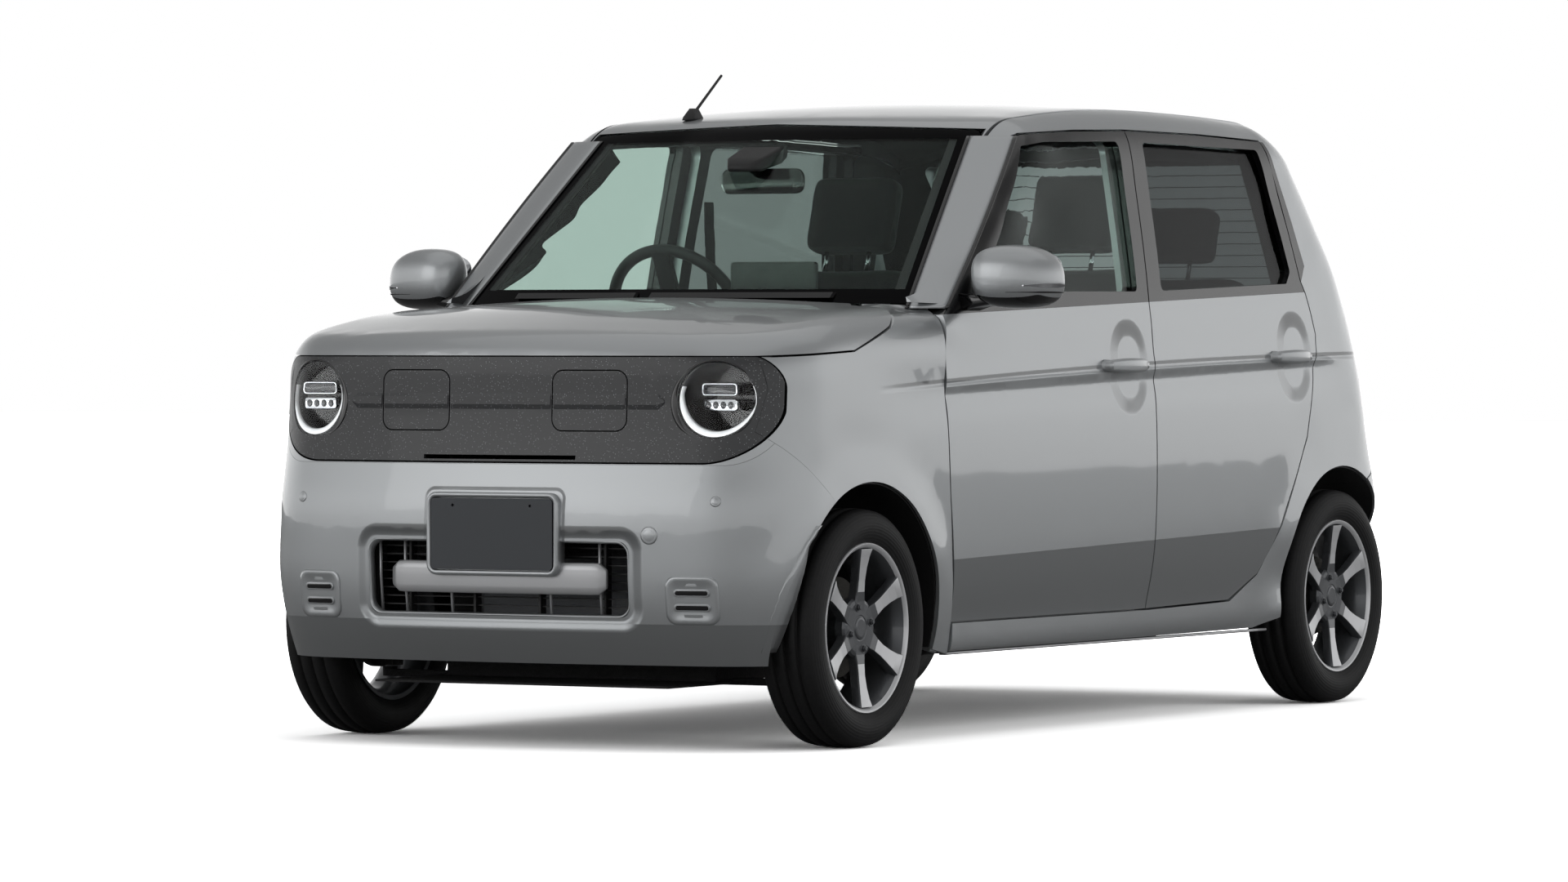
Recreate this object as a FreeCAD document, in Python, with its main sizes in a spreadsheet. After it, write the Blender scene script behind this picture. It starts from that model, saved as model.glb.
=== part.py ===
# A small four-door electric city car, put together from its real panels and running gear.
# The frame stands on the floor under the middle of the car: the nose points along -Y,
# the car's left side is +X and +Z is up. Every length is in millimetres.
import FreeCAD
import Part
import math
import os
import re
import Sketcher
from types import SimpleNamespace

V = FreeCAD.Vector
doc = FreeCAD.newDocument("kei_car")

# Driving dimensions: name, size, and what it measures.
SIZES = (
    ("body_length", 3395, "nose to tail"),
    ("body_width", 1475, "across the doors"),
    ("body_height", 1545, "floor to the roof's top"),
    ("wheelbase", 2520, "front axle to rear axle"),
    ("front_overhang", 490, "nose to front axle"),
    ("track", 1305, "tyre middle to tyre middle"),
    ("tyre_diameter", 557, "over the tread"),
    ("tyre_width", 155, "over the sidewalls"),
    ("tread_width", 112, "flat part of the tread"),
    ("bead_radius", 192, "bore of the tyre"),
    ("bead_width", 124, "between the rim's flanges"),
    ("flange_height", 5, "rim flange over the bead"),
    ("flange_width", 6, "rim flange"),
    ("rim_wall", 8, "barrel of the rim"),
    ("spoke_width", 46, "one spoke"),
    ("spoke_depth", 20, "one spoke, along the axle"),
    ("spoke_setback", 14, "spoke face inside the flange"),
    ("spoke_rise", 12, "hub face inside the spoke ends"),
    ("hub_radius", 76, "solid middle of the rim"),
    ("hub_cap_radius", 27, "cap in the middle of the rim"),
    ("hub_cap_height", 6, "cap over the hub face"),
    ("hub_tube_radius", 32, "bearing hub behind the rim"),
    ("lug_circle_radius", 50, "wheel nuts"),
    ("lug_hole_radius", 9, "wheel nut pockets"),
    ("lug_hole_depth", 10, "wheel nut pockets"),
    ("disc_radius", 118, "brake disc or drum"),
    ("disc_width", 20, "front brake disc"),
    ("drum_width", 44, "rear brake drum"),
    ("arch_radius", 340, "wheel opening in the body side"),
    ("liner_wall", 4, "wheel-house liner"),
    ("shut_gap", 5, "gap round doors and lids"),
    ("fit_gap", 0.3, "between pieces that seat on each other"),
    ("seam_gap", 0.6, "between fixed panels"),
    ("cut_overrun", 60, "how far a cutter runs past the piece"),
    ("door_wall", 85, "door below the window"),
    ("frame_wall", 42, "door frame round the window"),
    ("seal_gap", 8, "door's inner face to the body"),
    ("pillar_wall", 42, "body behind the door"),
    ("upper_pillar_wall", 28, "pillar behind the door frame"),
    ("belt_step", 15, "belt down to the door's deep box"),
    ("seal_flange", 26, "body flange behind the door's edge"),
    ("fender_wall", 8, "front fender"),
    ("bumper_wall", 10, "bumper skin"),
    ("face_wall", 12, "face panel"),
    ("hood_wall", 22, "hood, both sheets"),
    ("roof_wall", 13, "roof panel"),
    ("roof_lining", 34, "roof with its bows and lining"),
    ("tailgate_wall", 58, "tailgate, both sheets"),
    ("glass_wall", 5, "one pane"),
    ("glass_inset", 2, "screen below the body surface"),
    ("side_glass_inset", 15, "door glass below the door skin"),
    ("glass_grip", 12, "glass held in its channel"),
    ("screen_flange", 24, "body flange under the screen"),
    ("ditch_gap", 9, "gutter beside the roof panel"),
    ("ditch_flange", 30, "flange under the roof panel"),
    ("shoulder_radius", 74, "hood into side"),
    ("nose_radius", 52, "hood into face"),
    ("front_corner_radius", 175, "face into side"),
    ("roof_edge_radius", 90, "roof into side"),
    ("screen_edge_radius", 25, "screen into roof"),
    ("screen_post_radius", 30, "screen into side"),
    ("tail_low_radius", 110, "tail into side, at the bumper"),
    ("tail_high_radius", 200, "tail into side, at the roof"),
    ("tail_edge_radius", 42, "tail into roof"),
    ("side_plan_radius", 70000, "side, seen from above"),
    ("nose_plan_radius", 3000, "face, seen from above"),
    ("tail_plan_radius", 3200, "tail, seen from above"),
    ("roof_cross_radius", 7300, "roof, seen from the front"),
    ("hood_cross_radius", 7600, "hood, seen from the front"),
    ("screen_plan_radius", 1750, "screen, seen from above"),
    ("crease_depth", 5, "character line"),
    ("crease_height", 22, "fall of the character line"),
    ("low_crease_blend", 14, "softness of the lower crease"),
    ("arch_flare", 9, "body flared out round the wheels"),
    ("arch_flare_width", 95, "flared band"),
    ("battery_length", 1240, "battery pack"),
    ("battery_width", 1080, "battery pack"),
    ("battery_height", 90, "battery pack"),
    ("battery_clearance", 190, "floor to battery pack"),
    ("floor_wall", 6, "floor sheet with its mat"),
    ("lamp_radius", 88, "headlamp ring"),
    ("lamp_depth", 72, "headlamp behind the face"),
    ("lamp_wall", 4, "headlamp housing"),
    ("lamp_spread", 545, "headlamp from the middle"),
    ("lamp_gap", 0.6, "headlamp in the face panel"),
    ("lid_width", 189, "charge lid"),
    ("lid_height", 137, "charge lid"),
    ("lid_radius", 26, "charge lid corners"),
    ("lid_spread", 236, "charge lid from the middle"),
    ("lid_wall", 6, "charge lid"),
    ("lid_gap", 3, "gap round a charge lid"),
    ("port_depth", 60, "charge port behind its lid"),
    ("port_wall", 3, "charge port cup"),
    ("socket_radius", 24, "charge socket"),
    ("plate_width", 330, "number plate"),
    ("plate_height", 165, "number plate"),
    ("plate_wall", 6, "number plate and its holder"),
    ("plate_radius", 10, "number plate corners"),
    ("plate_screw_spacing", 210, "number plate screws"),
    ("plate_screw_radius", 3.5, "number plate screw holes"),
    ("steering_wheel_radius", 180, "middle of the rim"),
    ("steering_rim_radius", 15, "grip"),
    ("steering_hub_radius", 62, "airbag cover"),
    ("steering_rake", 26, "degrees the wheel leans"),
    ("steer_column_radius", 28, "steering column"),
    ("seat_width", 470, "front seat"),
    ("seat_spread", 325, "front seat from the middle"),
    ("cushion_length", 500, "front seat cushion"),
    ("cushion_height", 120, "front seat cushion"),
    ("cushion_top", 615, "floor to front seat cushion"),
    ("backrest_height", 640, "front seat back"),
    ("backrest_thickness", 105, "front seat back"),
    ("backrest_rake", 17, "degrees the seat back leans"),
    ("headrest_width", 250, "headrest"),
    ("headrest_height", 210, "headrest"),
    ("headrest_thickness", 90, "headrest"),
    ("headrest_rise", 40, "headrest over the seat back"),
    ("headrest_post_radius", 6, "headrest post"),
    ("bench_width", 1120, "rear seat"),
    ("bench_split", 20, "between the two rear seats"),
    ("pad_radius", 32, "corners of seats"),
    ("mirror_width", 150, "door mirror, across the car"),
    ("mirror_height", 128, "door mirror"),
    ("mirror_depth", 120, "door mirror, along the car"),
    ("mirror_arm", 22, "door to mirror"),
    ("antenna_length", 190, "whip"),
    ("antenna_radius", 4, "whip"),
    ("kingpin_low_x", 596, "lower ball joint from the middle"),
    ("kingpin_low_z", 165, "lower ball joint over the floor"),
    ("kingpin_top_x", 506, "strut top from the middle"),
    ("kingpin_top_z", 760, "strut top over the floor"),
    ("strut_radius", 22, "damper tube"),
    ("spring_radius", 58, "coil spring"),
    ("arm_radius", 16, "suspension arms"),
    ("strut_low_z", 430, "bottom of the damper tube"),
    ("strut_top_gap", 6, "strut top under its mount"),
    ("spring_length", 150, "front coil spring"),
    ("rear_spring_setback", 100, "rear coil spring ahead of the axle"),
    ("hub_tube_length", 55, "bearing hub behind the spokes"),
    ("bearing_gap", 0.5, "hub to knuckle"),
    ("bearing_radius", 40, "knuckle's bearing"),
    ("bearing_length", 45, "knuckle's bearing"),
    ("upright_wall", 20, "knuckle"),
    ("ball_gap", 3, "ball joint's seat under the knuckle"),
    ("upright_width", 46, "knuckle"),
    ("upright_top", 452, "top of the knuckle over the floor"),
    ("caliper_wall", 12, "brake caliper"),
    ("caliper_depth", 62, "brake caliper"),
    ("caliper_height", 84, "brake caliper"),
    ("battery_radius", 14, "corners of the battery and drive unit"),
    ("battery_middle_y", 20, "battery middle behind the car's middle"),
    ("drive_width", 460, "drive unit"),
    ("drive_length", 420, "drive unit"),
    ("drive_height", 400, "drive unit"),
    ("drive_setback", 30, "drive unit behind the front axle"),
    ("subframe_half", 370, "subframe from the middle"),
    ("subframe_length", 300, "subframe"),
    ("subframe_height", 100, "subframe"),
    ("subframe_low_z", 150, "floor to subframe"),
    ("undertray_half", 400, "undertray from the middle"),
    ("undertray_length", 320, "undertray"),
    ("undertray_setback", 120, "nose to undertray"),
    ("undertray_wall", 5, "undertray"),
    ("trailing_half", 520, "trailing arm from the middle"),
    ("trailing_length", 430, "trailing arm"),
    ("beam_setback", 210, "twist beam ahead of the axle"),
    ("seat_hip_y", 250, "front backrest behind the car's middle"),
    ("load_floor_z", 572, "floor to load floor"),
    ("bench_floor_z", 405, "floor to the step under the rear seat"),
    ("rail_half", 340, "front rail from the middle"),
    ("rail_width", 60, "front rail"),
    ("rail_height", 80, "front rail"),
    ("rail_low_z", 440, "floor to front rail"),
    ("rail_length", 660, "front rail"),
    ("beam_half", 520, "beam behind the front bumper"),
    ("beam_wall", 40, "beam behind the front bumper"),
    ("tower_width", 140, "strut tower, along the car"),
    ("tower_wall", 8, "strut tower"),
    ("wiper_wall", 9, "wiper blade over the glass"),
    ("bench_hip_y", 880, "rear backrest behind the car's middle"),
    ("bench_top", 600, "floor to rear cushion"),
    ("dash_half", 568, "dashboard from the middle"),
    ("dash_length", 360, "dashboard"),
    ("dash_top_z", 1010, "dashboard over the floor"),
    ("dash_depth", 330, "dashboard, top to bottom"),
    ("dash_fall", 28, "slope of the dashboard's top"),
    ("dash_radius", 18, "edges of the dashboard"),
    ("column_length", 210, "steering column"),
    ("steering_x", 330, "steering wheel from the middle"),
    ("steering_y", -293, "steering wheel"),
    ("steering_z", 1007, "steering wheel over the floor"),
    ("steering_hub_depth", 48, "airbag cover"),
    ("steering_spoke_width", 46, "steering wheel spoke"),
    ("steering_spoke_depth", 16, "steering wheel spoke"),
    ("cowl_lap", 30, "cowl under the hood's edge"),
)

sheet = doc.addObject("Spreadsheet::Sheet", "Sizes")
for row, (name, value, note) in enumerate(SIZES, 1):
    sheet.set("A%d" % row, name)
    sheet.set("B%d" % row, str(value))
    sheet.setAlias("B%d" % row, name)
    sheet.set("C%d" % row, note)
doc.recompute()
s = SimpleNamespace(**{name: float(sheet.get(name)) for name, value, note in SIZES})

half_width = s.body_width / 2
half_length = s.body_length / 2
front_axle_y = s.front_overhang - half_length
rear_axle_y = front_axle_y + s.wheelbase
wheel_x = s.track / 2
axle_z = s.tyre_diameter / 2
pieces = []


def keep(obj, label):
    """Give an object its node's name and put it on the list of pieces to write."""
    obj.Label = label
    pieces.append(obj)
    return obj


def keep_shape(label, shape):
    """Keep a shape that follows the body's surfaces as a piece of its own."""
    obj = doc.addObject("Part::Feature", label)
    obj.Shape = shape
    return keep(obj, label)


def at(y_share, z_share):
    """A place in side view, from shares of the half length and of the height."""
    return (half_length * y_share, s.body_height * z_share)


# The outer surface. Each field below is positive inside the body and falls about one
# millimetre for each millimetre outwards, and the body is where the least of them is zero.
class Curve:
    """A smooth curve through chosen points, straight past its ends."""

    def __init__(self, points):
        self.t = [p[0] for p in points]
        self.v = [p[1] for p in points]
        n = len(points)
        self.step = [self.t[i + 1] - self.t[i] for i in range(n - 1)]
        diag = [1.0] * n
        upper = [0.0] * n
        right = [0.0] * n
        for i in range(1, n - 1):
            left_step = self.step[i - 1]
            next_step = self.step[i]
            slope_change = (self.v[i + 1] - self.v[i]) / next_step - (self.v[i] - self.v[i - 1]) / left_step
            weight = left_step / diag[i - 1]
            diag[i] = 2 * (left_step + next_step) - weight * upper[i - 1]
            right[i] = 6 * slope_change - weight * right[i - 1]
            upper[i] = next_step
        self.bend = [0.0] * n
        for i in range(n - 2, 0, -1):
            self.bend[i] = (right[i] - upper[i] * self.bend[i + 1]) / diag[i]

    def __call__(self, t):
        last = len(self.step) - 1
        if t <= self.t[0]:
            slope = (self.v[1] - self.v[0]) / self.step[0] - self.step[0] * self.bend[1] / 6
            return self.v[0] + (t - self.t[0]) * slope
        if t >= self.t[-1]:
            slope = (self.v[-1] - self.v[-2]) / self.step[-1] + self.step[-1] * self.bend[-2] / 6
            return self.v[-1] + (t - self.t[-1]) * slope
        i = 0
        while i < last and t > self.t[i + 1]:
            i += 1
        a = (self.t[i + 1] - t) / self.step[i]
        b = 1 - a
        curve = (a ** 3 - a) * self.bend[i] + (b ** 3 - b) * self.bend[i + 1]
        return a * self.v[i] + b * self.v[i + 1] + curve * self.step[i] ** 2 / 6


def clamp(value, low, high):
    return max(low, min(high, value))


def main_solid(shape):
    """The largest solid, without the crumbs that a cut may leave."""
    return max(shape.Solids, key=lambda solid: solid.Volume)


def smooth_step(t):
    t = clamp(t, 0.0, 1.0)
    return t * t * (3 - 2 * t)


def round_least(a, b, radius):
    """The lesser of two fields, with the edge between them rounded."""
    if a < radius and b < radius:
        return radius - math.hypot(radius - a, radius - b)
    return min(a, b)


# Half width of the body at each height, as shares of the half width and of the height.
SIDE_SECTION_SHARES = ((0.285, 0.9975), (0.3625, 1.0), (0.453, 0.9985), (0.547, 0.991), (0.6472, 0.9735),
                       (0.6796, 0.9655), (0.809, 0.9235), (0.945, 0.872), (1.05, 0.832))
NOSE_SECTION_SHARES = ((0.125, -0.975), (0.18, -0.990), (0.24, -0.9985), (0.30, -1.0), (0.375, -0.9975),
                       (0.43, -0.9880), (0.523, -0.9805), (0.593, -0.979), (0.68, -0.979))
TAIL_SECTION_SHARES = ((0.13, 0.955), (0.194, 0.981), (0.265, 0.9955), (0.337, 1.0), (0.388, 0.9955),
                       (0.453, 0.983), (0.531, 0.970), (0.5825, 0.958), (0.6926, 0.926), (0.861, 0.8365),
                       (0.9385, 0.788), (1.0, 0.745))
HOOD_LINE_SHARES = ((-1.06, 0.540), (-0.985, 0.608), (-0.93, 0.629), (-0.87, 0.6425), (-0.766, 0.6625),
                    (-0.648, 0.6745), (-0.53, 0.6805), (-0.41, 0.6845))
ROOF_LINE_SHARES = ((-0.353, 0.9417), (-0.2474, 0.9579), (-0.118, 0.9786), (0.0, 0.9916), (0.1767, 1.0),
                    (0.4124, 0.9987), (0.589, 0.9922), (0.7364, 0.9773), (0.8247, 0.9612))

side_section = Curve([(z * s.body_height, x * half_width) for z, x in SIDE_SECTION_SHARES])
nose_section = Curve([(z * s.body_height, y * half_length) for z, y in NOSE_SECTION_SHARES])
tail_section = Curve([(z * s.body_height, y * half_length) for z, y in TAIL_SECTION_SHARES])
hood_line = Curve([at(y, z) for y, z in HOOD_LINE_SHARES])
roof_line = Curve([at(y, z) for y, z in ROOF_LINE_SHARES])


def line_through(first, last):
    """Height along a straight line in side view."""
    slope = (last[1] - first[1]) / (last[0] - first[0])
    return lambda y: first[1] + slope * (y - first[0])


belt_z = line_through(at(-0.480, 0.6537), at(0.658, 0.6932))
character_z = line_through(at(-0.683, 0.5372), at(0.8141, 0.5851))
low_crease_z = line_through(at(-0.481, 0.2770), at(0.5532, 0.3016))

SIDE_FALL_SHARE = 0.10
SIDE_TUCK_SHARE = 0.23
CHARACTER_START_SHARE = -0.736
CHARACTER_END_SHARE = 0.825
CHARACTER_FADE_SHARE = 0.13
ARCH_FLARE_TOP_SHARE = 0.453
SCREEN_FOOT_SHARES = (-0.533, 0.6796)
SCREEN_SLOPE_SHARE = 1.22
POST_START_SHARE = 0.583
POST_BLEND_SHARE = 0.163
TAIL_PLAN_START_SHARE = 0.34


def side_field(x, y, z):
    crease = low_crease_z(y)
    width = side_section(max(z, crease))
    drop = crease - z
    width -= SIDE_FALL_SHARE * (drop + math.hypot(drop, s.low_crease_blend)) / 2
    width -= SIDE_TUCK_SHARE * max(0.0, drop) ** 2 / s.body_height
    width -= (y - half_length * 0.06) ** 2 / (2 * s.side_plan_radius)
    under = character_z(y) - z
    if under > 0:
        fade = smooth_step((y / half_length - CHARACTER_START_SHARE) / CHARACTER_FADE_SHARE)
        fade *= smooth_step((CHARACTER_END_SHARE - y / half_length) / CHARACTER_FADE_SHARE)
        width -= s.crease_depth * fade * (under / s.crease_height) * math.exp(1 - under / s.crease_height)
    reach = min(math.hypot(y - front_axle_y, z - axle_z), math.hypot(y - rear_axle_y, z - axle_z))
    flare = smooth_step((s.arch_radius + s.arch_flare_width - reach) / s.arch_flare_width)
    flare *= smooth_step((ARCH_FLARE_TOP_SHARE - z / s.body_height) / 0.06)
    return width + s.arch_flare * flare - abs(x)


def nose_field(x, y, z):
    return y - nose_section(z) - x * x / (2 * s.nose_plan_radius)


def tail_field(x, y, z):
    return tail_section(z) - x * x / (2 * s.tail_plan_radius) - y


def hood_field(x, y, z):
    return hood_line(y) - x * x / (2 * s.hood_cross_radius) - z


def roof_field(x, y, z):
    return roof_line(y) - x * x / (2 * s.roof_cross_radius) - z


def screen_field(x, y, z):
    foot_y, foot_z = at(*SCREEN_FOOT_SHARES)
    screen_y = foot_y + SCREEN_SLOPE_SHARE * (z - foot_z) + x * x / (2 * s.screen_plan_radius)
    return (y - screen_y) / math.hypot(1, SCREEN_SLOPE_SHARE)


def lower_field(x, y, z):
    """The lower body: sides, nose and hood."""
    body = round_least(side_field(x, y, z), nose_field(x, y, z), s.front_corner_radius)
    across = smooth_step((abs(x) / half_width - POST_START_SHARE) / POST_BLEND_SHARE)
    radius = s.nose_radius + (s.shoulder_radius - s.nose_radius) * across
    return round_least(body, hood_field(x, y, z), radius)


def upper_field(x, y, z):
    """The cabin and the tail: sides, roof, screen and tailgate."""
    body = round_least(side_field(x, y, z), roof_field(x, y, z), s.roof_edge_radius)
    across = smooth_step((abs(x) / half_width - POST_START_SHARE) / POST_BLEND_SHARE)
    radius = s.screen_edge_radius + (s.screen_post_radius - s.screen_edge_radius) * across
    body = round_least(body, screen_field(x, y, z), radius)
    corner = s.tail_low_radius + (s.tail_high_radius - s.tail_low_radius) * smooth_step(z / s.body_height)
    across = smooth_step((abs(x) / half_width - TAIL_PLAN_START_SHARE) / TAIL_PLAN_START_SHARE)
    radius = s.tail_edge_radius + (corner - s.tail_edge_radius) * across
    return round_least(body, tail_field(x, y, z), radius)


def body_field(x, y, z):
    if y > 0:
        return upper_field(x, y, z)
    return max(lower_field(x, y, z), upper_field(x, y, z))


def spread(low, high, count):
    return [low + (high - low) * i / (count - 1) for i in range(count)]


def chain(*runs):
    """Join runs of numbers end to end, each run's first number being the last one's end."""
    values = list(runs[0])
    for run in runs[1:]:
        values.extend(run[1:])
    return values


def surface_point(field, start, way, depth, longest):
    """Where the line from start along way meets the given depth below the surface."""
    low = 0.0
    high = longest
    low_value = field(*start) - depth
    high_value = field(*(start[i] + way[i] * high for i in range(3))) - depth
    if low_value < 0 or high_value > 0:
        raise ValueError("no surface from %s along %s" % (start, way))
    for turn in range(60):
        middle = (low + high) / 2
        if turn % 3:
            middle = (low * high_value - high * low_value) / (high_value - low_value)
        value = field(*(start[i] + way[i] * middle for i in range(3))) - depth
        if abs(value) < 1e-4 * s.fit_gap:
            break
        if value > 0:
            low = middle
            low_value = value
        else:
            high = middle
            high_value = value
    return V(*(start[i] + way[i] * middle for i in range(3)))


class Patch:
    """A region of the body's surface, seen along one axis.

    The lines that find the surface leave a core inside the body, and fan out past its edges.
    """

    def __init__(self, field, axis, core, aim, grid, core_range):
        self.field = field
        self.axis = axis
        self.core = core
        self.aim = aim
        self.grid = grid
        self.core_range = core_range

    def surface(self, depth):
        others = [i for i in range(3) if i != self.axis]
        rows = []
        for a in self.grid[0]:
            row = []
            for b in self.grid[1](a) if callable(self.grid[1]) else self.grid[1]:
                start = [0.0, 0.0, 0.0]
                way = [0.0, 0.0, 0.0]
                start[self.axis] = self.core
                way[self.axis] = self.aim - self.core
                for index, value, limits in zip(others, (a, b), self.core_range):
                    start[index] = clamp(value, *limits)
                    way[index] = value - start[index]
                deep = depth(a, b) if callable(depth) else depth
                row.append(surface_point(self.field, start, way, deep, 3.2))
            rows.append(row)
        surface = Part.BSplineSurface()
        surface.interpolate(rows)
        return surface

    def slab(self, outer, inner):
        """The solid between two depths below the surface."""
        a = self.surface(outer)
        b = self.surface(inner)
        a_edges = a.bounds()
        b_edges = b.bounds()
        sides = []
        for i, cut in enumerate(("uIso", "uIso", "vIso", "vIso")):
            first = getattr(a, cut)(a_edges[i]).toShape()
            second = getattr(b, cut)(b_edges[i]).toShape()
            sides.append(Part.makeRuledSurface(first, second))
        faces = a.toShape().Faces + b.toShape().Faces
        for side in sides:
            faces.extend(side.Faces)
        shell = Part.Shell(faces)
        shell.sewShape()
        solid = Part.Solid(shell)
        if solid.Volume < 0:
            solid.reverse()
        return solid


def mirrored(shape):
    return shape.mirror(V(0, 0, 0), V(1, 0, 0))


def both(shape):
    return Part.makeCompound([shape, mirrored(shape)])


def rounded_wire(points, radius, lift):
    """A closed outline with rounded corners; lift turns a flat point into a place."""
    n = len(points)
    radii = radius if isinstance(radius, (list, tuple)) else [radius] * n
    starts = []
    ends = []
    middles = []
    for i in range(n):
        p = points[i]
        before = points[i - 1]
        after = points[(i + 1) % n]
        a = (before[0] - p[0], before[1] - p[1])
        b = (after[0] - p[0], after[1] - p[1])
        a_length = math.hypot(*a)
        b_length = math.hypot(*b)
        a = (a[0] / a_length, a[1] / a_length)
        b = (b[0] / b_length, b[1] / b_length)
        half = math.acos(clamp(a[0] * b[0] + a[1] * b[1], -1, 1)) / 2
        setback = 0.0 if radii[i] == 0 else radii[i] / math.tan(half)
        setback = min(setback, 0.48 * a_length, 0.48 * b_length)
        bulge = setback * math.tan(half)
        to_centre = setback / math.cos(half)
        way = (a[0] + b[0], a[1] + b[1])
        size = math.hypot(*way) or 1
        reach = to_centre - bulge
        starts.append((p[0] + a[0] * setback, p[1] + a[1] * setback))
        ends.append((p[0] + b[0] * setback, p[1] + b[1] * setback))
        middles.append((p[0] + way[0] / size * reach, p[1] + way[1] / size * reach))
    edges = []
    for i in range(n):
        start = lift(*starts[i])
        end = lift(*ends[i])
        if (start - end).Length > s.fit_gap / 10:
            edges.append(Part.Arc(start, lift(*middles[i]), end).toShape())
        following = lift(*starts[(i + 1) % n])
        edges.append(Part.LineSegment(end, following).toShape())
    return Part.Wire(edges)


def side_prism(points, low_x, high_x, radius=0):
    """A cutter across the car with an outline in side view."""
    wire = rounded_wire(points, radius, lambda y, z: V(low_x, y, z))
    return Part.Face(wire).extrude(V(high_x - low_x, 0, 0))


def front_prism(points, low_y, high_y, radius=0):
    """A cutter along the car with an outline in front view."""
    wire = rounded_wire(points, radius, lambda x, z: V(x, low_y, z))
    return Part.Face(wire).extrude(V(0, high_y - low_y, 0))


def top_prism(points, low_z, high_z, radius=0):
    """An upright cutter with an outline seen from above."""
    wire = rounded_wire(points, radius, lambda x, y: V(x, y, low_z))
    return Part.Face(wire).extrude(V(0, 0, high_z - low_z))


def grown(points, distance):
    """An outline moved outwards by a distance, or inwards where it is negative."""
    n = len(points)
    area = sum(points[i - 1][0] * points[i][1] - points[i][0] * points[i - 1][1] for i in range(n))
    sign = 1 if area > 0 else -1
    moved = []
    for i in range(n):
        before = points[i - 1]
        p = points[i]
        after = points[(i + 1) % n]
        normals = []
        for q, r in ((before, p), (p, after)):
            length = math.hypot(r[0] - q[0], r[1] - q[1])
            normals.append((sign * (r[1] - q[1]) / length, -sign * (r[0] - q[0]) / length))
        along = 1 + normals[0][0] * normals[1][0] + normals[0][1] * normals[1][1]
        moved.append(tuple(p[k] + distance * (normals[0][k] + normals[1][k]) / along for k in range(2)))
    return moved


def rectangle(centre_a, centre_b, width, height):
    a = width / 2
    b = height / 2
    return [(centre_a - a, centre_b - b), (centre_a + a, centre_b - b), (centre_a + a, centre_b + b),
            (centre_a - a, centre_b + b)]


def leaning_prism(points, leans, low_x, high_x):
    """A cutter across the car whose edges lean along it, each vertex true at the skin there."""
    wires = []
    for x in (low_x, high_x):
        corners = []
        for (y, z), lean in zip(points, leans):
            skin = surface_point(side_field, (0.0, y, z), (1.0, 0.0, 0.0), 0.0, 2 * half_width).x
            corners.append(V(x, y + lean * (x - skin), z))
        wires.append(Part.makePolygon(corners + corners[:1]))
    return Part.makeLoft(wires, True, True)


far = half_width + s.cut_overrun

# The side of the cabin, from the screen post to the tail, and the part of it that the doors fill.
CABIN_Y_SHARES = (-0.72, -0.42, 0.60, 1.36)
CABIN_CORE_SHARES = ((-0.03, 0.59), (0.26, 0.73))
DOOR_Y_SHARES = (-0.53, 0.78)
SILL_SHARE = 0.129
RAIL_SHARE = 0.947
ROOF_AIM_SHARE = 1.152
ROW_SHARES = ((0, .4, .8), (0, .12, .4, .75, .9, .96), (0, .2, .6), (0, .35, .7, .92),
              (0, .12, .25, .4, .6, .8, 1.0))
DOOR_ROW_SHARES = ((.2, .6), (0, .12, .4, .75, .9, .96), (0, .2, .6), (0, .25, .5, .75, 1), (.12, .28))
WINDOW_ROW_SHARES = ((), (), (.2, .8), (.3, .6, .95), (.2,))


def side_rows(shares):
    """Heights for the side's grid, which follow the creases."""
    def rows(y):
        y = clamp(y, -0.53 * half_length, 0.70 * half_length)
        levels = [s.body_height * SILL_SHARE, low_crease_z(y), character_z(y), belt_z(y),
                  s.body_height * RAIL_SHARE, s.body_height * ROOF_AIM_SHARE]
        heights = []
        for i, run in enumerate(shares):
            heights.extend(levels[i] + (levels[i + 1] - levels[i]) * share for share in run)
        return heights
    return rows


cabin_core = ([half_length * share for share in CABIN_CORE_SHARES[0]],
              [s.body_height * share for share in CABIN_CORE_SHARES[1]])
a, b, c, d = (half_length * share for share in CABIN_Y_SHARES)
cabin_side = Patch(body_field, 0, 0.0, half_width,
                   (chain(spread(a, b, 8), spread(b, c, 14), spread(c, d, 16)), side_rows(ROW_SHARES)),
                   cabin_core)
a, b = (half_length * share for share in DOOR_Y_SHARES)
door_side = Patch(body_field, 0, 0.0, half_width, (spread(a, b, 20), side_rows(DOOR_ROW_SHARES)), cabin_core)
window_side = Patch(body_field, 0, 0.0, half_width, (spread(a, b, 12), side_rows(WINDOW_ROW_SHARES)),
                    cabin_core)

# The doors and the body are deep below the belt and slim round the windows. The deep part
# starts inside the outer sheet, so that the two make one piece.
upper_depth = s.frame_wall + s.seal_gap + s.upper_pillar_wall
lower_depth = s.door_wall + s.seal_gap + s.pillar_wall
sheet_depth = s.frame_wall / 2


def below_belt(low_y, high_y, step):
    """A cutter for what lies under the belt, less a step."""
    points = [(low_y, -s.cut_overrun), (high_y, -s.cut_overrun), (high_y, belt_z(high_y) + step),
              (low_y, belt_z(low_y) + step)]
    return side_prism(points, inside_x / 2, far)


inside_x = half_width * 0.55
low = below_belt(-half_length * 1.2, half_length * 1.2, -s.belt_step)
door_frame_layer = door_side.slab(0.0, s.frame_wall)
door_box_layer = door_side.slab(sheet_depth, s.door_wall).common(low)
body_frame_layer = cabin_side.slab(0.0, upper_depth)
body_box_layer = cabin_side.slab(sheet_depth, lower_depth).common(low)
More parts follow.
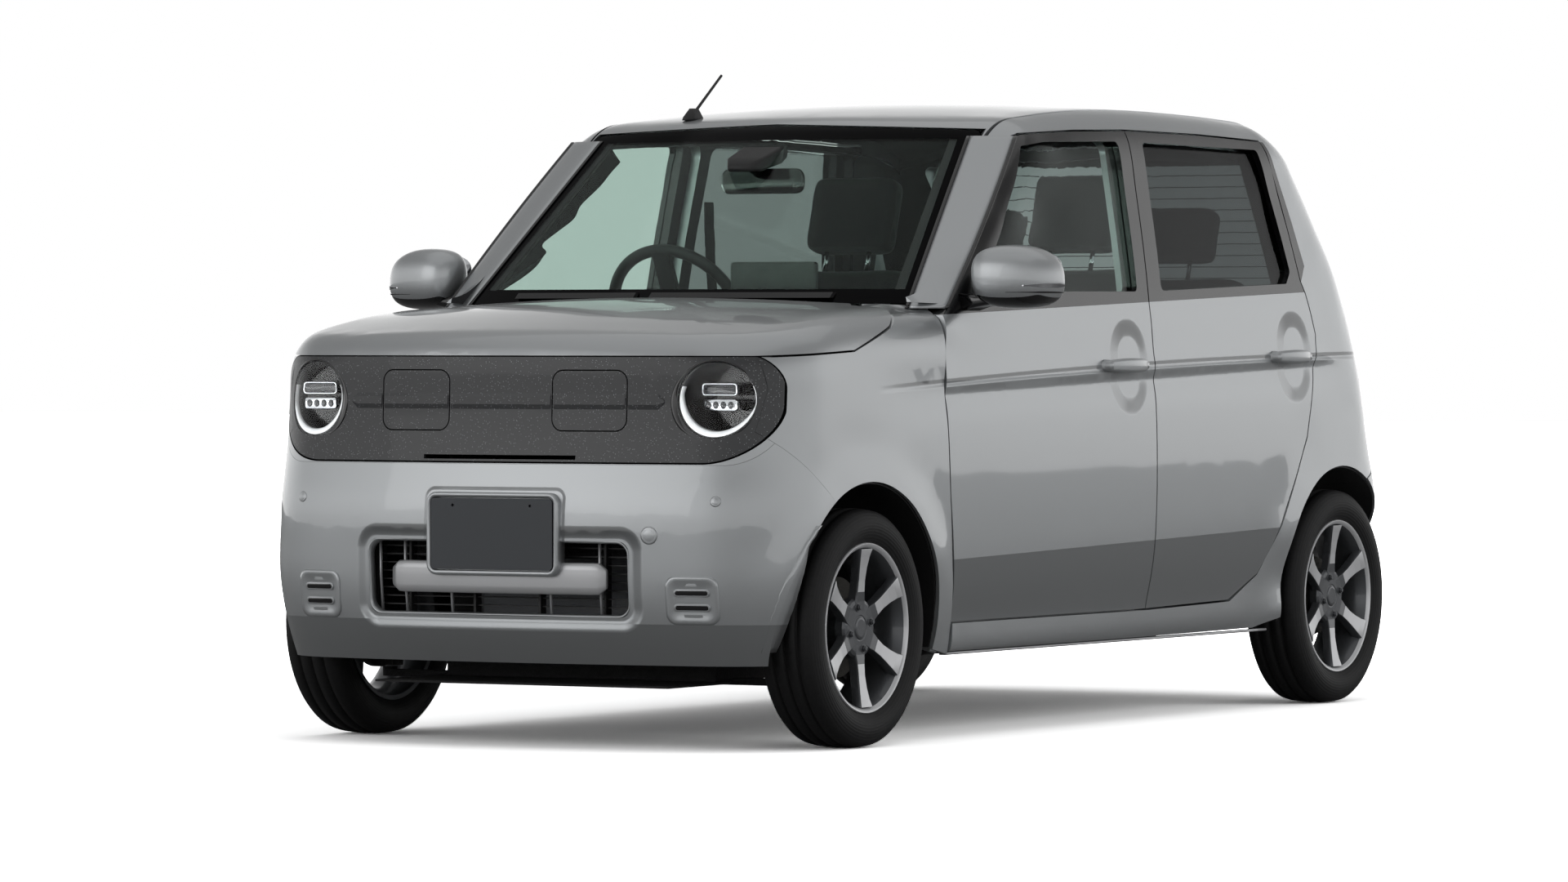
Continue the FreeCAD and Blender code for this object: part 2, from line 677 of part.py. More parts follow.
# Shut lines in side view, each point with how much its edge leans rearwards going outwards.
FRONT_EDGE_SHARES = ((-0.4642, 0.1799, 0), (-0.4860, 0.3773, 0), (-0.4925, 0.5469, 0), (-0.4825, 0.6518, 0),
                     (-0.4600, 0.6673, 0), (-0.1860, 0.9294, 0), (-0.1600, 0.9375, 0), (0.0, 0.9466, 0))
PILLAR_EDGE_SHARES = ((0.1543, 0.9508, 0.25), (0.1414, 0.6686, 0.25), (0.1426, 0.5715, 0.12),
                      (0.1402, 0.3650, 0.12), (0.1308, 0.1799, 0.12))
REAR_EDGE_SHARES = ((0.4047, 0.1845, 0.2), (0.4943, 0.2252, 0.2), (0.5591, 0.3068, 0.2),
                    (0.6539, 0.4498, 0.2), (0.6951, 0.5832, 0.2), (0.7010, 0.6227, 0.2),
                    (0.6786, 0.6893, 0.3), (0.6660, 0.7120, 0.3),
                    (0.6103, 0.9443, 0.3), (0.4000, 0.9495, 0.25))

front_edge = [at(y, z) for y, z, lean in FRONT_EDGE_SHARES]
pillar_edge = [at(y, z) for y, z, lean in PILLAR_EDGE_SHARES]
rear_edge = [at(y, z) for y, z, lean in REAR_EDGE_SHARES]
front_door_outline = front_edge + pillar_edge
front_door_leans = [p[2] for p in FRONT_EDGE_SHARES + PILLAR_EDGE_SHARES]
rear_door_outline = list(reversed(pillar_edge)) + list(reversed(rear_edge))
rear_door_leans = [p[2] for p in reversed(PILLAR_EDGE_SHARES)] + [p[2] for p in reversed(REAR_EDGE_SHARES)]
both_outline = front_edge + pillar_edge[:1] + list(reversed(rear_edge)) + pillar_edge[-1:]
both_leans = ([p[2] for p in FRONT_EDGE_SHARES] + [PILLAR_EDGE_SHARES[0][2]]
              + [p[2] for p in reversed(REAR_EDGE_SHARES)] + [PILLAR_EDGE_SHARES[-1][2]])

FRONT_WINDOW_SHARES = ((-0.372, 0.6880), (-0.176, 0.9180), (-0.110, 0.9260), (0.1180, 0.9320),
                       (0.1080, 0.6905))
REAR_WINDOW_SHARES = ((0.1860, 0.6920), (0.1960, 0.9320), (0.5830, 0.9290), (0.6330, 0.7260),
                      (0.6150, 0.7060))
front_window = [at(*share) for share in FRONT_WINDOW_SHARES]
rear_window = [at(*share) for share in REAR_WINDOW_SHARES]
window_radius = s.pad_radius / 2

glass_layer = window_side.slab(s.side_glass_inset, s.side_glass_inset + s.glass_wall)
channel_layer = window_side.slab(s.side_glass_inset - s.fit_gap,
                                 s.side_glass_inset + s.glass_wall + s.fit_gap)


def make_door(outline, leans, window):
    """One door with its window cut and the channel that holds the glass."""
    cutter = leaning_prism(grown(outline, -s.shut_gap / 2), leans, inside_x, far)
    door = door_frame_layer.common(cutter).fuse(door_box_layer.common(cutter))
    door = door.cut(side_prism(window, inside_x, far, window_radius))
    channel = side_prism(grown(window, s.glass_grip + s.fit_gap), inside_x, far, window_radius + s.glass_grip)
    door = door.cut(channel_layer.common(channel))
    glass = glass_layer.common(side_prism(grown(window, s.glass_grip), inside_x, far,
                                          window_radius + s.glass_grip))
    return door, glass


front_door, front_glass = make_door(front_door_outline, front_door_leans, front_window)
rear_door, rear_glass = make_door(rear_door_outline, rear_door_leans, rear_window)

# The hole left in the body side: full depth round both doors, and smaller behind them.
door_hole = leaning_prism(grown(both_outline, s.shut_gap / 2), both_leans, inside_x, far)
front_hole = side_prism(grown(front_door_outline, -s.seal_flange), inside_x / 2, far, s.pad_radius)
rear_hole = side_prism(grown(rear_door_outline, -s.seal_flange), inside_x / 2, far, s.pad_radius)

REAR_SEAM_SHARES = ((0.850, 0.3720), (0.905, 0.3930), (1.20, 0.3930))
BODY_EDGE_SHARES = (((-0.512, 0.1315), (0.500, 0.1355), (0.640, 0.1650)) + REAR_SEAM_SHARES
                    + ((1.20, 1.20), (-0.512, 1.20)))
body_edge = [at(*share) for share in BODY_EDGE_SHARES]
body_region = side_prism(body_edge, 0.0, far)
rear_arch = Part.makeCylinder(s.arch_radius, half_width, V(half_width / 4, rear_axle_y, axle_z), V(1, 0, 0))
front_arch = Part.makeCylinder(s.arch_radius, half_width, V(half_width / 4, front_axle_y, axle_z), V(1, 0, 0))
rail_x = half_width * 0.766
roof_hole = Part.makeBox(rail_x - s.ditch_flange, s.body_length, s.body_height,
                         V(0, -half_length, s.body_height * 0.84))

# The tailgate in front view, and the screen.
TAILGATE_SHARES = ((0.0, 0.385), (0.79, 0.385), (0.835, 0.45), (0.865, 0.60), (0.872, 0.70), (0.80, 0.955),
                   (0.0, 0.975))
SCREEN_SHARES = ((0.0, 0.6680), (0.865, 0.6680), (0.742, 0.9440), (0.0, 0.9550))


def whole_outline(shares):
    """A full-width outline in front view from the shares of its left half."""
    right = [(half_width * x, s.body_height * z) for x, z in shares]
    return right + [(-x, z) for x, z in reversed(right) if x > 0]


tailgate_outline = whole_outline(TAILGATE_SHARES)
screen_outline = whole_outline(SCREEN_SHARES)
tail_start_y = half_length * 0.72
tailgate_hole = front_prism(grown(tailgate_outline, s.shut_gap / 2), tail_start_y - s.shut_gap,
                            half_length + s.cut_overrun)
screen_hole = front_prism(grown(screen_outline, -s.screen_flange), -half_length * 0.8, -half_length * 0.15)

# The front end: fenders, hood, bumper and face panel share one seam plan.
HOOD_SEAM_SHARES = ((-1.05, 0.5890), (-0.9214, 0.5883), (-0.7399, 0.5968), (-0.6268, 0.6330),
                    (-0.5679, 0.6647), (-0.5150, 0.6700), (-0.4400, 0.6700))
FENDER_FRONT_SHARES = ((-0.9214, 0.5883), (-0.9150, 0.5400), (-0.9300, 0.4764), (-0.8750, 0.4272),
                       (-0.8170, 0.3760))
hood_seam = [at(*share) for share in HOOD_SEAM_SHARES]
fender_front = [at(*share) for share in FENDER_FRONT_SHARES]
door_front = [at(y, z) for y, z, lean in FRONT_EDGE_SHARES[:5]]
fender_outline = (fender_front + [(front_axle_y, axle_z)] + [(door_front[0][0], s.body_height * SILL_SHARE)]
                  + door_front + list(reversed(hood_seam[2:-1])))
NOSE_Y_SHARES = (-1.03, -0.42)
NOSE_CORE_SHARES = ((-0.80, -0.40), (0.26, 0.55))
a, b = (half_length * share for share in NOSE_Y_SHARES)
fender_side = Patch(body_field, 0, 0.0, half_width,
                    (spread(a, b, 18), spread(s.body_height * 0.12, s.body_height * 0.74, 16)),
                    ([half_length * share for share in NOSE_CORE_SHARES[0]],
                     [s.body_height * share for share in NOSE_CORE_SHARES[1]]))
fender_layer = fender_side.slab(0.0, s.fender_wall)
fender_cutter = side_prism(grown(fender_outline, -s.shut_gap / 2), inside_x / 2, far).cut(front_arch)

hood_top = Patch(lower_field, 2, s.body_height * 0.47, s.body_height * 0.70,
                 (spread(-1.42 * half_width, 1.42 * half_width, 29), spread(-half_length * 1.10,
                                                                            -half_length * 0.42, 18)),
                 ([-0.62 * half_width, 0.62 * half_width], [-0.86 * half_length, -0.40 * half_length]))
hood_layer = hood_top.slab(0.0, s.hood_wall)
HOOD_REAR_SHARES = ((0.0, -0.575), (0.30, -0.571), (0.60, -0.552), (0.86, -0.517))
hood_front_y = -half_length - s.cut_overrun
hood_rear = [(half_width * x, half_length * y) for x, y in HOOD_REAR_SHARES]
hood_plan = [(-x, y) for x, y in reversed(hood_rear)] + hood_rear[1:]
hood_plan += [(far, hood_rear[-1][1]), (far, hood_front_y), (-far, hood_front_y), (-far, hood_rear[-1][1])]
over_seam = grown(hood_seam + [(hood_seam[-1][0], s.body_height), (hood_seam[0][0], s.body_height)],
                  -s.shut_gap / 2)

# Layers of the roof, the screen and the tail.
roof_top = Patch(upper_field, 2, s.body_height * 0.70, s.body_height,
                 (spread(-0.85 * half_width, 0.85 * half_width, 17), spread(-half_length * 0.34,
                                                                            half_length * 0.80, 20)),
                 ([-0.60 * half_width, 0.60 * half_width], [-half_length * 0.10, half_length * 0.66]))
screen_top = Patch(upper_field, 1, -half_length * 0.10, -half_length * 0.72,
                   (spread(-1.02 * half_width, 1.02 * half_width, 17),
                    spread(s.body_height * 0.645, s.body_height * 1.13, 15)),
                   ([-0.76 * half_width, 0.76 * half_width], [s.body_height * 0.66, s.body_height * 0.93]))
TAIL_LAMP_SHARES = ((0.885, 0.500), (1.05, 0.500), (1.05, 0.680), (0.900, 0.680))
lamp_outline = [(half_width * x, s.body_height * z) for x, z in TAIL_LAMP_SHARES]

# Seats in the body side for what is fastened to it: fender, hood, roof panel, screen and tail lamp.
fender_room = fender_side.slab(-s.cut_overrun, s.fender_wall + s.fit_gap).common(
    side_prism(grown(fender_outline, s.shut_gap / 2), inside_x / 2, far))
hood_room_plan = [(x, y + s.shut_gap) for x, y in hood_plan]
hood_room = hood_top.slab(-s.cut_overrun, s.hood_wall + s.shut_gap).common(
    top_prism(hood_room_plan, 0.0, s.body_height).common(side_prism(grown(over_seam, s.shut_gap), -far, far)))
roof_seat = roof_top.slab(-s.cut_overrun, s.roof_wall + 2 * s.fit_gap).common(
    Part.makeBox(2 * rail_x, 2 * s.body_length, s.body_height, V(-rail_x, -s.body_length,
                                                                 s.body_height * 0.8)))
screen_seat = screen_top.slab(-s.cut_overrun, s.glass_inset + s.glass_wall + s.fit_gap).common(
    front_prism(screen_outline, -half_length * 0.8, 0.0))
tail_lamp_depth = s.lamp_wall * 4
tail_lamp_room = cabin_side.slab(-s.cut_overrun, tail_lamp_depth + s.fit_gap).common(
    front_prism(grown(lamp_outline, s.seam_gap), half_length * 0.865 - s.seam_gap,
                half_length + s.cut_overrun))

dash_room = Part.makeBox(s.dash_half + s.shut_gap, half_length * 0.8, s.dash_depth + 2 * s.shut_gap,
                         V(0, -half_length, s.dash_top_z - s.dash_depth - s.shut_gap))
holes = [door_hole, rear_arch, front_arch, roof_hole, tailgate_hole, screen_hole]
side_frame = body_frame_layer.common(body_region).cut(holes)
side_box = body_box_layer.common(body_region).cut(holes)
above = below_belt(-half_length * 1.2, half_length * 1.2, s.belt_step / 3 - s.belt_step)
lap = s.seal_gap / 4
inner_start = s.frame_wall + s.seal_gap
openings_behind = [front_hole, rear_hole, rear_arch, front_arch, roof_hole, screen_hole, tailgate_hole]
frame_inner = door_side.slab(inner_start,
                             upper_depth - lap).common(body_region).cut([above] + openings_behind)
ledge = door_side.slab(inner_start, lower_depth - 2 * lap).common(body_region).common(
    below_belt(-half_length * 1.2, half_length * 1.2, s.belt_step)).cut([above] + openings_behind)
box_inner = door_side.slab(s.door_wall + s.seal_gap, lower_depth - lap).common(body_region).common(
    below_belt(-half_length * 1.2, half_length * 1.2, 0)).cut(openings_behind)
hinge_pads = []
HINGE_PAD_SHARES = ((-0.4830, 0.26), (-0.4850, 0.50), (0.1440, 0.26), (0.1470, 0.50))
for y, z in HINGE_PAD_SHARES:
    pad_outline = rectangle(half_length * y, s.body_height * z, s.pad_radius / 2, s.pad_radius * 2)
    hinge_pads.append(door_side.slab(s.door_wall + s.fit_gap, s.door_wall + s.seal_gap + lap).common(
        side_prism(pad_outline, inside_x, far)))
body_side = side_frame.fuse([side_box, frame_inner, ledge, box_inner] + hinge_pads)
body_side = main_solid(body_side)
for room in (fender_room, hood_room, roof_seat, screen_seat, tail_lamp_room, dash_room):
    body_side = main_solid(body_side.cut(room))


def keep_pair(name, shape):
    """The left piece and its mirror image, each a node of its own."""
    solid = main_solid(shape)
    keep_shape(name + "_left", solid)
    keep_shape(name + "_right", mirrored(solid))


keep_pair("body_side", body_side)
keep_pair("front_door", front_door)
keep_pair("rear_door", rear_door)
keep_pair("front_door_glass", front_glass)
keep_pair("rear_door_glass", rear_glass)

keep_pair("front_fender", fender_layer.common(fender_cutter))
hood_cutter = top_prism(hood_plan, 0.0, s.body_height).common(side_prism(over_seam, -far, far))
keep_shape("hood", main_solid(hood_layer.common(hood_cutter)))

front_end = Patch(lower_field, 1, -half_length * 0.72, -half_length,
                  (spread(-1.9 * half_width, 1.9 * half_width, 33), spread(s.body_height * 0.125,
                                                                           s.body_height * 0.60, 17)),
                  ([-0.60 * half_width, 0.60 * half_width], [0.0, s.body_height * 0.565]))
bumper_layer = front_end.slab(0.0, s.bumper_wall)
face_layer = front_end.slab(0.0, s.face_wall)
face_low_z = s.body_height * 0.4278
face_top_z = s.body_height * 0.5883
FACE_SHARES = ((0.0, 0.4278), (0.855, 0.4278), (0.945, 0.4900), (1.02, 0.5883), (0.0, 0.5883))
face_outline = whole_outline(FACE_SHARES)
face_corner = s.front_corner_radius * 0.6
face_radii = [0, face_corner, face_corner, 0, 0, 0, face_corner, face_corner]
face_rear_y = -half_length * 0.905
face_cutter = front_prism(grown(face_outline, -s.seam_gap / 2), -half_length - s.cut_overrun, face_rear_y,
                          face_radii).cut(side_prism(grown(fender_outline, s.seam_gap - s.shut_gap / 2),
                                                     -far, far))
bumper_outline = (list(reversed(fender_front[1:])) + [(-half_length * 1.1, face_low_z * 1.3),
                  (-half_length * 1.1, s.body_height * 0.131), (-half_length * 0.91, s.body_height * 0.131),
                  (-half_length * 0.70, s.body_height * 0.131), (front_axle_y, axle_z)])
face_room = front_prism(grown(face_outline, s.seam_gap / 2), -half_length - s.cut_overrun,
                        face_rear_y + s.shut_gap,
                        face_radii)
grille_outline = rectangle(0.0, s.body_height * 0.2573, half_width * 0.96, s.body_height * 0.1133)
nose_start = -half_length - s.cut_overrun
grille_hole = front_prism(grille_outline, nose_start, -half_length * 0.85, s.lid_radius)
vent_holes = []
for side in (-1, 1):
    vent = rectangle(side * half_width * 0.70, s.body_height * 0.2278, half_width * 0.135,
                     s.body_height * 0.042)
    vent_holes.append(front_prism(vent, nose_start, -half_length * 0.85, s.lid_radius / 2))
bumper_cutter = side_prism(grown(bumper_outline, s.shut_gap / 2 - s.seam_gap), -far, far).cut(
    [front_arch, mirrored(front_arch), face_room, grille_hole] + vent_holes)
keep_shape("front_bumper", main_solid(bumper_layer.common(bumper_cutter)))

lamp_z = s.body_height * 0.5243
lid_z = s.body_height * 0.5230
face_cuts = []
for side in (-1, 1):
    face_cuts.append(Part.makeCylinder(s.lamp_radius + s.lamp_gap, half_length * 0.3,
                                       V(side * s.lamp_spread, nose_start, lamp_z), V(0, 1, 0)))
    lid_room = rectangle(side * s.lid_spread, lid_z, s.lid_width + 2 * s.lid_gap,
                         s.lid_height + 2 * s.lid_gap)
    face_cuts.append(front_prism(lid_room, nose_start, -half_length * 0.85, s.lid_radius + s.lid_gap))
slot_width = half_width * 0.56
face_cuts.append(front_prism(rectangle(0.0, s.body_height * 0.4380, slot_width, s.body_height * 0.0065),
                             nose_start,
                             -half_length * 0.85))
keep_shape("face_panel", main_solid(face_layer.common(face_cutter.cut(face_cuts))))

lid_layer = front_end.slab(0.0, s.lid_wall)
lid = front_prism(rectangle(s.lid_spread, lid_z, s.lid_width, s.lid_height), nose_start, -half_length * 0.85,
                  s.lid_radius)
keep_pair("charge_lid", lid_layer.common(lid))

# The roof panel sits on the body sides' flanges beside its gutters.
roof_layer = roof_top.slab(0.0, s.roof_wall)
roof_half = rail_x - s.ditch_gap
roof_plan = [(-roof_half, -half_length * 0.5), (roof_half, -half_length * 0.5), (roof_half, half_length),
             (-roof_half, half_length)]
screen_room = front_prism(grown(screen_outline, s.shut_gap / 2), -half_length * 0.8, 0.0)
roof_cutter = top_prism(roof_plan, s.body_height * 0.8, s.body_height * 1.1).cut([tailgate_hole, screen_room])
lining_half = rail_x - s.ditch_flange - s.fit_gap
lining_plan = [(-lining_half, -half_length * 0.5), (lining_half, -half_length * 0.5), (lining_half,
                                                                                       half_length),
               (-lining_half, half_length)]
lining_cutter = top_prism(lining_plan, s.body_height * 0.8, s.body_height * 1.1).cut([tailgate_hole,
                                                                                      screen_room])
lining = roof_top.slab(s.roof_wall / 2, s.roof_lining).common(lining_cutter)
gate_hinges = []
for side in (-1, 1):
    block = front_prism(rectangle(side * half_width / 2, s.body_height, s.pad_radius * 2, s.body_height / 2),
                        half_length * 0.735, half_length * 0.752)
    block = block.cut(front_prism(grown(tailgate_outline, s.fit_gap - s.shut_gap / 2), 0.0, half_length))
    gate_hinges.append(block.common(roof_top.slab(s.roof_wall / 2, s.roof_lining * 2)))
roof = roof_layer.common(roof_cutter).fuse([lining] + gate_hinges)
keep_shape("roof_panel", main_solid(roof))

screen_layer = screen_top.slab(s.glass_inset, s.glass_inset + s.glass_wall)
screen = screen_layer.common(front_prism(grown(screen_outline, -s.shut_gap / 2), -half_length * 0.8, 0.0,
                                         s.lid_radius))
keep_shape("windscreen", main_solid(screen))

# The tail: tailgate with its glass, and the rear bumper.
tail_end = Patch(upper_field, 1, half_length * 0.56, half_length,
                 (spread(-1.25 * half_width, 1.25 * half_width, 25), spread(s.body_height * 0.36,
                                                                            s.body_height * 1.26, 25)),
                 ([-0.60 * half_width, 0.60 * half_width], [0.0, s.body_height * 0.78]))
tailgate_layer = tail_end.slab(0.0, s.tailgate_wall)
tailgate = tailgate_layer.common(front_prism(grown(tailgate_outline, -s.shut_gap / 2), tail_start_y,
                                             half_length + s.cut_overrun))
TAIL_GLASS_SHARES = ((0.0, 0.660), (0.735, 0.660), (0.675, 0.925), (0.0, 0.938))
tail_glass_outline = whole_outline(TAIL_GLASS_SHARES)
tail_hole = front_prism(grown(tail_glass_outline, -s.screen_flange), tail_start_y,
                        half_length + s.cut_overrun, s.pad_radius)
seat_layer = tail_end.slab(-s.cut_overrun / 2, s.glass_inset + s.glass_wall + s.fit_gap)
tail_seat = front_prism(grown(tail_glass_outline, s.lamp_gap), tail_start_y, half_length + s.cut_overrun,
                        s.pad_radius)
tailgate = tailgate.cut([tail_hole, seat_layer.common(tail_seat)])
keep_shape("tailgate", main_solid(tailgate))
tail_glass_layer = tail_end.slab(s.glass_inset, s.glass_inset + s.glass_wall)
keep_shape("tailgate_glass", main_solid(tail_glass_layer.common(
    front_prism(tail_glass_outline, tail_start_y, half_length + s.cut_overrun, s.pad_radius))))

rear_end = Patch(upper_field, 1, half_length * 0.56, half_length,
                 (spread(-1.7 * half_width, 1.7 * half_width, 27), spread(s.body_height * 0.125,
                                                                          s.body_height * 0.42, 10)),
                 ([-0.60 * half_width, 0.60 * half_width], [0.0, s.body_height]))
rear_bumper_layer = rear_end.slab(0.0, s.bumper_wall)
rear_bumper_outline = ([(half_length * 0.70, s.body_height * 0.131), (half_length * 1.2,
                                                                      s.body_height * 0.131)]
                       + [at(*share) for share in reversed(REAR_SEAM_SHARES)])
rear_bumper_cutter = side_prism(grown(rear_bumper_outline, -s.seam_gap), -far, far).cut(
    [rear_arch, mirrored(rear_arch), tailgate_hole])
keep_shape("rear_bumper", main_solid(rear_bumper_layer.common(rear_bumper_cutter)))


# Pieces made of plain solids and sketches. Their sizes and places are formulas on the sheet.
NAMES = re.compile("|".join(sorted((r"\b%s\b" % name for name, value, note in SIZES), key=len, reverse=True)))


def formula(text):
    """A formula in size names, as the sheet wants it."""
    return NAMES.sub(lambda match: "Sizes." + match.group(0), str(text))


def value_of(text):
    result = sheet.evalExpression(formula(text))
    return float(getattr(result, "Value", result))


def bind(obj, **formulas):
    for name, text in formulas.items():
        obj.setExpression(name.replace("_", "."), formula(text))
    return obj


def put(obj, place, axis=(0, 0, 1), angle=0):
    """Place an object by three formulas and a turn."""
    obj.Placement = FreeCAD.Placement(V(*(value_of(p) for p in place)), FreeCAD.Rotation(V(*axis), angle))
    for letter, text in zip("xyz", place):
        obj.setExpression("Placement.Base." + letter, formula(text))
    return obj


def box(name, width, depth, height, place):
    """A box with its lowest corner at place."""
    return put(bind(doc.addObject("Part::Box", name), Length=width, Width=depth, Height=height), place)


def rod(name, radius, length, place, axis=(0, 0, 1), angle=0):
    """A cylinder from place, upright unless turned."""
    return put(bind(doc.addObject("Part::Cylinder", name), Radius=radius, Height=length), place, axis, angle)


def across(name, radius, length, place):
    """A cylinder from place along +X."""
    return rod(name, radius, length, place, (0, 1, 0), 90)


def joined(label, parts):
    obj = doc.addObject("Part::MultiFuse", label)
    obj.Shapes = parts
    return obj


def group(label, parts):
    obj = doc.addObject("Part::Compound", label)
    obj.Links = parts
    return obj


def less(label, base, tool):
    obj = doc.addObject("Part::Cut", label)
    obj.Base = base
    obj.Tool = tool
    return obj


def plane_of(body, role):
    return next(f for f in body.Origin.OriginFeatures if f.Role == role)


def outline(body, name, role, points):
    """A closed sketch of straight lines whose corners are formulas."""
    sketch = body.newObject("Sketcher::SketchObject", name)
    sketch.AttachmentSupport = [(plane_of(body, role), "")]
    sketch.MapMode = "FlatFace"
    places = [V(value_of(u), value_of(v), 0) for u, v in points]
    n = len(places)
    for i in range(n):
        sketch.addGeometry(Part.LineSegment(places[i], places[(i + 1) % n]), False)
    for i in range(n):
        sketch.addConstraint(Sketcher.Constraint("Coincident", i, 2, (i + 1) % n, 1))
    for i, (u, v) in enumerate(points):
        for kind, value, text in (("DistanceX", places[i].x, u), ("DistanceY", places[i].y, v)):
            number = sketch.addConstraint(Sketcher.Constraint(kind, -1, 1, i, 1, value))
            sketch.setExpression("Constraints[%d]" % number, formula(text))
    return sketch


def turned(body, name, points):
    """A feature turned about the body's X axis from an outline of (along, radius)."""
    sketch = outline(body, name + "_outline", "XY_Plane", points)
    feature = body.newObject("PartDesign::Revolution", name)
    feature.Profile = sketch
    feature.ReferenceAxis = (sketch, ["H_Axis"])
    feature.Angle = 360
    return feature


def pad(name, width, points, radius, role="YZ_Plane"):
    """A rounded body padded both ways from an outline."""
    body = doc.addObject("PartDesign::Body", name)
    feature = body.newObject("PartDesign::Pad", name + "_pad")
    feature.Profile = outline(body, name + "_outline", role, points)
    feature.Midplane = True
    bind(feature, Length=width)
    doc.recompute()
    fillet = body.newObject("PartDesign::Fillet", name + "_round")
    fillet.Base = (feature, ["Edge%d" % (i + 1) for i in range(len(feature.Shape.Edges))])
    bind(fillet, Radius=radius)
    return body


def rounded_block(name, width, depth, height, radius):
    """A box about its own middle with every edge rounded."""
    corners = [("%s(%s) / 2" % (i, depth), "%s(%s) / 2" % (j, height)) for i, j in ("--", "+-", "++", "-+")]
    return pad(name, width, [(u.lstrip("+"), v.lstrip("+")) for u, v in corners], radius)


FIREWALL_SHARE = -0.512
FIREWALL_Y = "(body_length / 2 * %s)" % FIREWALL_SHARE
NOSE_Y = "(-body_length / 2)"
FRONT_AXLE_Y = "(front_overhang - body_length / 2)"
REAR_AXLE_Y = "(front_overhang - body_length / 2 + wheelbase)"
AXLE_Z = "tyre_diameter / 2"

# Tyres and rims, each wheel about its own axle.
BULGE_SHARE = 0.5
SHOULDER_SHARE = 0.88
SHOULDER_WIDTH_SHARE = 0.43
HALF_FLANGE = "(bead_width / 2 + fit_gap + flange_width)"
TREAD_RISE = "(tyre_diameter / 2 - bead_radius)"
BEAD_TOP = "bead_radius + flange_height + fit_gap"
BULGE = "bead_radius + %s * %s" % (TREAD_RISE, BULGE_SHARE)
SHOULDER = "bead_radius + %s * %s" % (TREAD_RISE, SHOULDER_SHARE)
SHOULDER_X = "tyre_width * %s" % SHOULDER_WIDTH_SHARE
tyre_outline = [("-bead_width / 2", "bead_radius"), ("-bead_width / 2", BEAD_TOP), ("-tyre_width / 2", BULGE),
                ("-%s" % SHOULDER_X, SHOULDER), ("-tread_width / 2", "tyre_diameter / 2"),
                ("tread_width / 2", "tyre_diameter / 2"), (SHOULDER_X, SHOULDER), ("tyre_width / 2", BULGE),
                ("bead_width / 2", BEAD_TOP), ("bead_width / 2", "bead_radius")]
barrel_outline = [("-%s" % HALF_FLANGE, "bead_radius + flange_height"),
                  ("-bead_width / 2 - fit_gap", "bead_radius + flange_height"),
                  ("-bead_width / 2 - fit_gap", "bead_radius - fit_gap"), ("bead_width / 2 + fit_gap",
                                                                           "bead_radius - fit_gap"),
                  ("bead_width / 2 + fit_gap", "bead_radius + flange_height"),
                  (HALF_FLANGE, "bead_radius + flange_height"), (HALF_FLANGE, "bead_radius - rim_wall"),
                  ("-%s" % HALF_FLANGE, "bead_radius - rim_wall")]
SPOKE_FACE = "(%s - spoke_setback)" % HALF_FLANGE
dish_outline = [(SPOKE_FACE, "bead_radius - rim_wall / 2"), (SPOKE_FACE + " - spoke_rise", "0"),
                (SPOKE_FACE + " - spoke_rise - spoke_depth", "0"), (SPOKE_FACE + " - spoke_depth",
                                                                    "bead_radius - rim_wall / 2")]
WINDOW_OUT = "(bead_radius - rim_wall - 0.3 * rim_wall)"
OUT_ANGLE = "(30 deg - asin(spoke_width / 2 / %s))" % WINDOW_OUT
IN_ANGLE = "(30 deg - asin(spoke_width / 2 / hub_radius))"
window_outline = [("hub_radius * cos(%s)" % IN_ANGLE, "-hub_radius * sin(%s)" % IN_ANGLE)]
for share in (-1, -0.5, 0, 0.5, 1):
    window_outline.append(("%s * cos(%s * %s)" % (WINDOW_OUT, share, OUT_ANGLE),
                           "%s * sin(%s * %s)" % (WINDOW_OUT, share, OUT_ANGLE)))
window_outline.append(("hub_radius * cos(%s)" % IN_ANGLE, "hub_radius * sin(%s)" % IN_ANGLE))
spoke_count = 6
lug_count = 4

for corner, side, axle_y, brake in (("front_left", 1, FRONT_AXLE_Y, "disc_width"), ("front_right", -1,
        FRONT_AXLE_Y, "disc_width"),
                                    ("rear_left", 1, REAR_AXLE_Y, "drum_width"), ("rear_right", -1,
                                                                                  REAR_AXLE_Y, "drum_width")):
    place = ("%d * track / 2" % side, axle_y, AXLE_Z)
    angle = 0 if side > 0 else 180
    tyre = doc.addObject("PartDesign::Body", "tyre_%s" % corner)
    turned(tyre, "carcass_%s" % corner, tyre_outline)
    keep(put(tyre, place, (0, 0, 1), angle), "tyre_%s" % corner)
    rim = doc.addObject("PartDesign::Body", "rim_body_%s" % corner)
    turned(rim, "barrel_%s" % corner, barrel_outline)
    turned(rim, "dish_%s" % corner, dish_outline)
    doc.recompute()
    window = rim.newObject("PartDesign::Pocket", "window_%s" % corner)
    window.Profile = outline(rim, "window_outline_%s" % corner, "YZ_Plane", window_outline)
    window.Midplane = True
    bind(window, Length="2 * tyre_width")
    windows = rim.newObject("PartDesign::PolarPattern", "windows_%s" % corner)
    windows.Originals = [window]
    windows.Axis = (plane_of(rim, "X_Axis"), [""])
    windows.Angle = 360
    windows.Occurrences = spoke_count
    rim.Tip = windows
    disc_start = SPOKE_FACE + " - spoke_rise - spoke_depth - hub_tube_length"
    tube = across("hub_tube_%s" % corner, "hub_tube_radius", "hub_tube_length + spoke_depth / 2",
                  (disc_start, "0", "0"))
    disc = across("brake_%s" % corner, "disc_radius", brake, (disc_start, "0", "0"))
    cap = across("cap_%s" % corner, "hub_cap_radius", "hub_cap_height + spoke_depth / 2",
                 (SPOKE_FACE + " - spoke_rise - spoke_depth / 2", "0", "0"))
    wheel = joined("rim_%s" % corner, [rim, tube, disc, cap])
    keep(put(wheel, place, (0, 0, 1), angle), "rim_%s" % corner)

